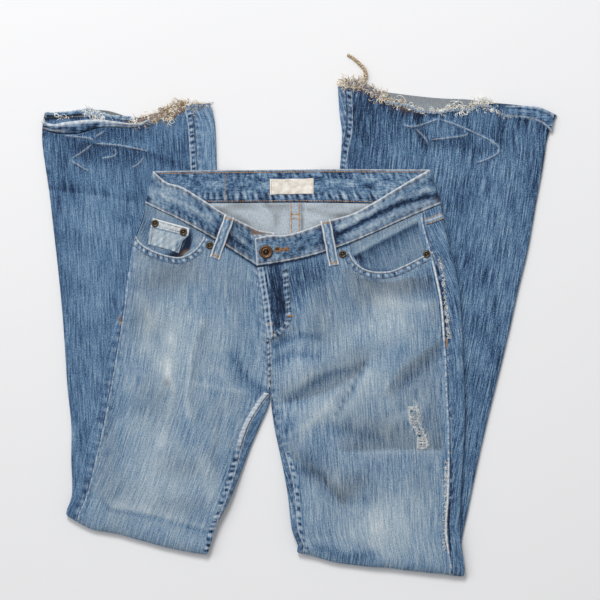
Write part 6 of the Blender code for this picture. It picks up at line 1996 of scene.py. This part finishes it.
def fray_beds(side):
    """The matted cotton under the loose threads: lumpy strips along the frayed edge."""
    for number, bed_row in enumerate(FRAY_BEDS[side]):
        base, out, run, across = plan_strip(bed_row.points, bed_row.width, calf_face)
        lumps = wobble(run + 9 * across, 6.1, 0.3) * wobble(run - 14 * across, 8.3, 1.7)
        ends = smoothstep(0, 5, run) * smoothstep(0, 5, run[-1, 0] - run)
        edge = 0.5 + 0.25 * wobble(run + 3 * np.sign(across), 7, 2.2)
        held = smoothstep(edge, 0.5 * edge, np.abs(across)) * ends
        top = (0.9 + 0.9 * lumps) * held - 0.5 * (1 - held)
        fine = wobble(run + 5 * across, 2.6, 1.1) * wobble(run - 20 * across, 3.4, 0.2)
        # Paler and whiter on the lumps' tops: partly painted light.
        fade = bed_row.fade + 0.35 * lumps + 0.3 * fine
        wear_and_highlight = 0.5 * np.clip(lumps + 0.5 * fine, 0, 1)
        lay(f"matted_fray_{side}_{number}", base, out, top, fade, wear_and_highlight, bed_row.tan)


def hem_frays(side):
    """All the loose threads of a hem: short tangled ones, and thicker ones wound in curls."""
    chance = np.random.default_rng(7 if side == "right" else 11)
    *threads, tans = grown(TUFTS[side], chance)
    stand_for(strands(f"loose_threads_{side}", *threads, FRAY, 3, tans), f"hem_fray_{side}")
    *threads, tans = grown(CURLS[side], chance)
    strands(f"loose_curls_{side}", *threads, FRAY, 13, tans, rings=20, loops=1.3)


TAIL = [(72, 286, 3.4), (78, 290, 3.6), (82, 297, 3.8), (82.5, 304, 3.7), (79, 311, 3.3), (73, 317, 2.9),
        (67, 322, 2.4), (60, 326, 1.9)]
TAIL_PLIES, TAIL_TWIST, TAIL_RADIUS, PLY_RADIUS = 3, 9.0, 1.6, 1.5


def twisted_tail():
    """The long loose cord at the left hem: plies wound round its route, thinner to the tip."""
    line = smooth_line(TAIL, 0.5)
    left = line_sides(line)[1]
    run = np.arange(len(line)) * 0.5
    taper = np.linspace(1, 0.62, len(line))
    angle = np.arange(8)[None, :, None] * 2 * np.pi / 8
    across = np.column_stack([left, np.zeros(len(left))])
    upward = np.broadcast_to([0.0, 0.0, 1.0], across.shape)
    index = np.arange(len(line) * 8).reshape(len(line), 8)
    first, last = index[0], index[-1]
    ends = [first[[3, 2, 1, 0]], first[[7, 4, 3, 0]], first[[7, 6, 5, 4]],
            last[[0, 1, 2, 3]], last[[0, 3, 4, 7]], last[[4, 5, 6, 7]]]
    parts = []
    for ply in range(TAIL_PLIES):
        turn = 2 * np.pi * (run / TAIL_TWIST + ply / TAIL_PLIES)[:, None]
        wound = (TAIL_RADIUS * taper)[:, None] * (0.8 + 0.25 * wobble(run, 9, ply)[:, None])
        middle = line + (across * np.cos(turn) + upward * np.sin(turn)) * wound
        radius = (PLY_RADIUS * taper * (1 + 0.15 * wobble(run, 3.1, ply + 2)))[:, None, None]
        ring = across[:, None, :] * np.cos(angle) + upward[:, None, :] * np.sin(angle)
        points = middle[:, None, :] + ring * radius
        points[..., 2] = np.maximum(points[..., 2], 0.3)
        parts.append((points.reshape(-1, 3), np.concatenate([tube_walls(index), ends])))
    points, faces = join_arrays(parts)
    tan = 0.74 + 0.26 * wobble(np.arange(len(points)), 41, 0.3)
    mesh_object("twisted_tail", points, faces, FRAY, {"tan": tan})
    chance = np.random.default_rng(5)
    pick = chance.integers(4, len(line), 90)
    angle = chance.uniform(0, 2 * np.pi, 90)
    ways = np.stack([np.cos(angle), np.sin(angle), chance.normal(0, 0.3, 90)], axis=1)
    strands("tail_fuzz", line[pick], ways, chance.uniform(1.5, 4.5, 90), np.full(90, 0.28),
            chance.uniform(0.4, 1.6, 90), FRAY, 6, chance.uniform(0.3, 0.9, 90))


SEAM_FUZZ = [[(174.5, 70), (180, 45), (182, 19), (184.5, 0), (186.5, -30)],
             [(183, -181), (183, -225), (181.5, -269)], [(182, -269), (181, -282), (182, -294)]]


def seam_fuzz():
    """Short broken fibres that stand along the worn stretches of the left side seam."""
    chance = np.random.default_rng(9)
    roots, ways = [], []
    for stretch in SEAM_FUZZ:
        line = smooth_line(stretch, 0.5)
        pick = chance.integers(0, len(line), len(line))
        xy = line[pick] + chance.normal(0, 0.9, (len(pick), 2))
        roots.append(np.column_stack([xy, front_face(*plan(xy)) + 0.7]))
        angle = chance.uniform(0, 2 * np.pi, len(pick))
        ways.append(np.column_stack([0.6 * np.cos(angle), np.sin(angle), chance.normal(0, 0.2, len(pick))]))
    roots, ways = np.concatenate(roots), np.concatenate(ways)
    count = len(roots)
    strands("seam_fuzz", roots, ways, chance.uniform(1.2, 3.6, count), chance.uniform(0.4, 0.8, count),
            chance.uniform(0.2, 1.2, count), WHITE, 12)


RIP_LEFT = [(135, -114), (135.5, -122), (136.5, -134), (143, -143), (146, -152), (145.5, -168)]
RIP_RIGHT = [(146, -114), (149, -122), (150, -134), (152.5, -143), (158, -152), (160.5, -168)]
# Share down the rip from, to; reach across it; number of threads
RIP_THREADS = [(0.0, 0.1, 1.0, 16), (0.12, 0.4, 0.8, 22), (0.4, 0.52, 0.4, 7), (0.55, 0.68, 0.5, 8),
               (0.72, 0.97, 0.9, 30)]
RIP_WIDTH, RIP_LENGTH = 12, 54


def rip():
    """A worn patch whose warp is gone: pale weft threads cross a hollow with a frayed border."""
    flat, z = between_lines(RIP_LEFT, RIP_RIGHT, 80, 23, front_face)
    share = np.linspace(0, 1, 23)[None, :]
    down = np.linspace(0, 1, 80)[:, None]
    rim = np.minimum(np.minimum(share, 1 - share) * RIP_WIDTH, np.minimum(down, 1 - down) * RIP_LENGTH)
    top = 0.5 * bell(rim, 1.6, 1.1) - 0.1 - 0.9 * smoothstep(1.0, 0.0, rim)
    outer = at_height(flat, z + 0.35 + top)
    inner = at_height(flat, z - 0.6)
    patchy = wobble(down * RIP_LENGTH, 13, 0.4) * wobble(share * RIP_WIDTH, 9, 1.2)
    fade = 0.4 + 0.3 * bell(rim, 0.8, 1.2) - 0.2 * patchy
    wear_and_highlight = 0.7 * bell(rim, 1.2, 1.0) * (0.5 + 0.5 * wobble(down * RIP_LENGTH, 5, 1.0))
    cloth("rip_hollow", outer, inner, (flat[..., 0] + GRAIN["trim"], flat[..., 1]),
          {"fade": fade, "wear_and_highlight": wear_and_highlight, "grey_and_shade": 0.15})
    left, right = (smooth_line(line, 1.0) for line in (RIP_LEFT, RIP_RIGHT))
    chance = np.random.default_rng(2)
    at = np.concatenate([chance.uniform(low, high, number) for low, high, _, number in RIP_THREADS])
    reach = np.concatenate([np.full(number, reach) for _, _, reach, number in RIP_THREADS])
    reach = reach * chance.uniform(0.75, 1.0, len(at))
    start, end = read_rows(left, at * (len(left) - 1)), read_rows(right, at * (len(right) - 1))
    end = end + (start - end) * (1 - reach)[:, None] * 0.5
    start = start + (end - start) * (1 - reach)[:, None] * 0.5
    way = end - start + np.column_stack([0 * at, chance.normal(-0.6, 1.3, len(at))])
    lengths = np.linalg.norm(way, axis=1)
    slope = np.column_stack([way, chance.normal(0, 0.4, len(way))])
    height = front_face(*plan(start)) + 0.75 + chance.uniform(0, 0.6, len(start))
    roots = np.column_stack([start, height])
    strands("rip_weft", roots, slope, lengths, chance.uniform(0.5, 1.0, len(at)),
            chance.uniform(0.1, 0.8, len(at)), WHITE, 4)
    count = 90
    rows = chance.integers(0, len(right), count)
    beside = chance.uniform(size=(count, 1))
    other = left[np.minimum(rows * len(left) // len(right), len(left) - 1)]
    edge = np.where(beside < 0.6, right[rows], np.where(beside < 0.7, other, (right[rows] + other) / 2))
    edge = edge + chance.normal(0, 0.8, edge.shape)
    roots = np.column_stack([edge, front_face(*plan(edge)) + 1.2])
    ways = np.column_stack([chance.normal(0, 0.35, count), chance.choice([-1.0, 1.0], count),
                            chance.normal(0, 0.1, count)])
    strands("rip_warp", roots, ways, chance.uniform(2, 9, count), chance.uniform(0.4, 0.8, count),
            chance.uniform(0.2, 1.0, count), WHITE, 8)


BACK_SEAM = [(-5.5, 140), (-5.3, 120), (-5.0, 104), (-5.2, 96)]


def centre_back_seam():
    """The lapped seam inside the yokes: a raised strip with two orange rows and short bars."""
    face = above(bed, DENIM)
    base, out, run, across = plan_strip(BACK_SEAM, 15.0, face, 15)
    top = 0.75 + 0.16 * wobble(run, 8, 0.5)
    top = top - 0.25 * bell(np.abs(across), 0.33, 0.05) - 0.9 * smoothstep(0.45, 0.5, np.abs(across))
    # Painted shade: darker in its two grooves.
    fade = 0.5 - 0.3 * bell(np.abs(across), 0.33, 0.06)
    lay("centre_back_seam", base, out, top, fade, inside=0.8)
    on_seam = above(face, 0.75)
    bars = [((-11, y), (0.2, y), on_seam) for y in (126, 121)]
    return rows_beside(BACK_SEAM, (5.0, -5.0), on_seam), bars


# ---------------------------------------------------------------- the whole scene

SKY_STRENGTH = 0.4
SUN_FROM, SUN_STRENGTH, SUN_SPREAD = (-1.0, 0.6, 1.05), 0.62, 0.5
LAMP_AT, LAMP_SIZE, LAMP_POWER = (-0.6, 2.0, 2.3), 1.1, 58.0
SENSOR = 36.0
CAMERA_HEIGHT, JEANS_TOP = 3.0, 0.01
VIEW_WIDTH, VIEW_CENTRE = 0.75, (0.000625, 0.01875)


def light_and_camera():
    """Soft light from the upper left, a white sky, and a camera straight overhead."""
    world = bpy.data.worlds.new("sky")
    world.use_nodes = True
    sky = world.node_tree.nodes["Background"].inputs
    sky["Color"].default_value = srgb(254, 254, 255)
    sky["Strength"].default_value = SKY_STRENGTH
    lamp = bpy.data.lights.new("window", "AREA")
    lamp.shape = "DISK"
    lamp.size = LAMP_SIZE
    lamp.energy = LAMP_POWER
    window = linked("window", lamp)
    window.location = LAMP_AT
    window.rotation_euler = Vector(LAMP_AT).to_track_quat("Z", "Y").to_euler()
    sun = bpy.data.lights.new("daylight", "SUN")
    sun.energy = SUN_STRENGTH
    sun.angle = SUN_SPREAD
    linked("daylight", sun).rotation_euler = Vector(SUN_FROM).to_track_quat("Z", "Y").to_euler()
    lens = bpy.data.cameras.new("overhead")
    lens.sensor_width = SENSOR
    lens.lens = SENSOR * CAMERA_HEIGHT / VIEW_WIDTH
    lens.dof.use_dof = False
    camera = linked("overhead", lens)
    camera.location = (*VIEW_CENTRE, CAMERA_HEIGHT + JEANS_TOP)
    scene = bpy.context.scene
    scene.world = world
    scene.camera = camera
    scene.view_settings.view_transform = "Standard"


for side in SIDES:
    front_panel(side)
    back_pieces(side)
    pocket_facing(side)
    front_band(side)
back_band()
leg_seams()
worn_rows = pocket_rim("right") + pocket_rim("left") + fly() + coin_pocket()
yoke_rows = side_yoke_seam()
tacks = [tack for loop in BELT_LOOPS for tack in belt_loop(loop)]
label_rows = size_label()
metal_trims()
band_front_rows, band_back_rows = band_stitching()
seam_rows, seam_bars = centre_back_seam()
crease_ridges()
hem_bands()
for side in SIDES:
    fray_beds(side)
    hem_frays(side)
twisted_tail()
seam_fuzz()
rip()
sewn("stitches_worn", worn_rows + band_front_rows, DUSK)
sewn("stitches_orange", band_back_rows + yoke_rows, ORANGE, 2.8, 0.5, 1.0)
sewn("stitches_yoke", seam_rows, ORANGE, 3.2, 0.4, 1.8)
sewn("stitches_label", label_rows, PALE_THREAD, 1.6, 0.6, 0.5, 0.3)
FRONT_BARS = [((-14.5, -1), (-7.5, -1)), ((-39.5, -11), (-33, -11)), ((-34, -20), (-33.5, -27)),
              ((-225, -2), (-223, -12)), ((184, -29), (184, -41))]
tacks += [(*bar, on_front) for bar in FRONT_BARS] + seam_bars
sewn("bar_tacks", tack_lines(tacks), ORANGE, 2.3, 0.1, 0.62, 0.5)
sewn("stitches_buttonhole", buttonhole(), BROWN, 2.3, 0.1, 0.62, 0.5)

# Each cut piece: its flat width and length and its area in metres, and what lies or is sewn on it
Cut = namedtuple("Cut", "name width length area held rests_on sewn_on")
CUTS = table(
    Cut,
    ("cloth_front_right", 0.238, 0.952, 0.173, "folded", ["back_right"],
     ["pocket_rim_right", "side_seam_right", "side_seam_low_right", "inseam_thigh_right"]),
    ("cloth_front_left", 0.280, 1.059, 0.209, "folded", ["back_left"],
     ["pocket_rim_left", "fly_edge", "fly_curve", "centre_seam", "side_seam_left", "side_seam_low_left",
      "side_yoke_seam", "inseam_thigh_left", "rip_hollow", "rip_weft", "rip_warp", "seam_fuzz",
      "stitches_worn", "bar_tacks"]),
    ("cloth_back_right", 0.236, 0.966, 0.182, "folded", ["front_right"],
     ["inseam_calf_right", "hem_band_right", "hem_far_right", "loose_threads_right", "loose_curls_right"]
     + [f"matted_fray_right_{number}" for number in range(3)]
     + [f"crease_ridge_{number}" for number in range(7)]),
    ("cloth_back_left", 0.272, 1.048, 0.245, "folded", ["front_left"],
     ["inseam_calf_left", "hem_band_left", "loose_threads_left", "loose_curls_left",
      "matted_fray_left_0", "matted_fray_left_1", "twisted_tail", "tail_fuzz"]
     + [f"crease_ridge_{number}" for number in range(7, 12)]),
    ("cloth_yoke_right", 0.190, 0.053, 0.0070, "laid", ["back_right"], ["centre_back_seam", "stitches_yoke"]),
    ("cloth_yoke_left", 0.212, 0.053, 0.0072, "laid", ["back_left"], []),
    ("cloth_pocket_facing_right", 0.099, 0.058, 0.0045, "laid", ["back_right"], []),
    ("cloth_pocket_facing_left", 0.109, 0.062, 0.0057, "laid", ["back_left"], []),
    ("cloth_waistband_back", 0.042, 0.370, None, "laid", ["back_right", "back_left"], ["stitches_orange"]),
    ("cloth_waistband_right", 0.039, 0.182, None, "laid", ["waistband_back", "yoke_right"], []),
    ("cloth_waistband_left", 0.039, 0.243, None, "laid", ["waistband_back", "yoke_left"],
     ["stitches_buttonhole"]),
    ("cloth_belt_loop_right", 0.013, 0.056, None, "laid", ["waistband_right", "front_right"], []),
    ("cloth_belt_loop_left", 0.013, 0.058, None, "laid", ["waistband_left", "front_left"], []),
    ("cloth_coin_pocket", 0.047, 0.031, None, "laid", ["pocket_facing_right"], []),
    ("woven_label", 0.054, 0.019, None, "laid", ["waistband_back"], ["stitches_label"]),
)

floor = linked("floor", bpy.data.meshes.new("floor"))
floor.data.from_pydata([(-4, -4, 0), (4, -4, 0), (4, 4, 0), (-4, 4, 0)], [], [(0, 1, 2, 3)])
floor.data.materials.append(floor_material())
light_and_camera()
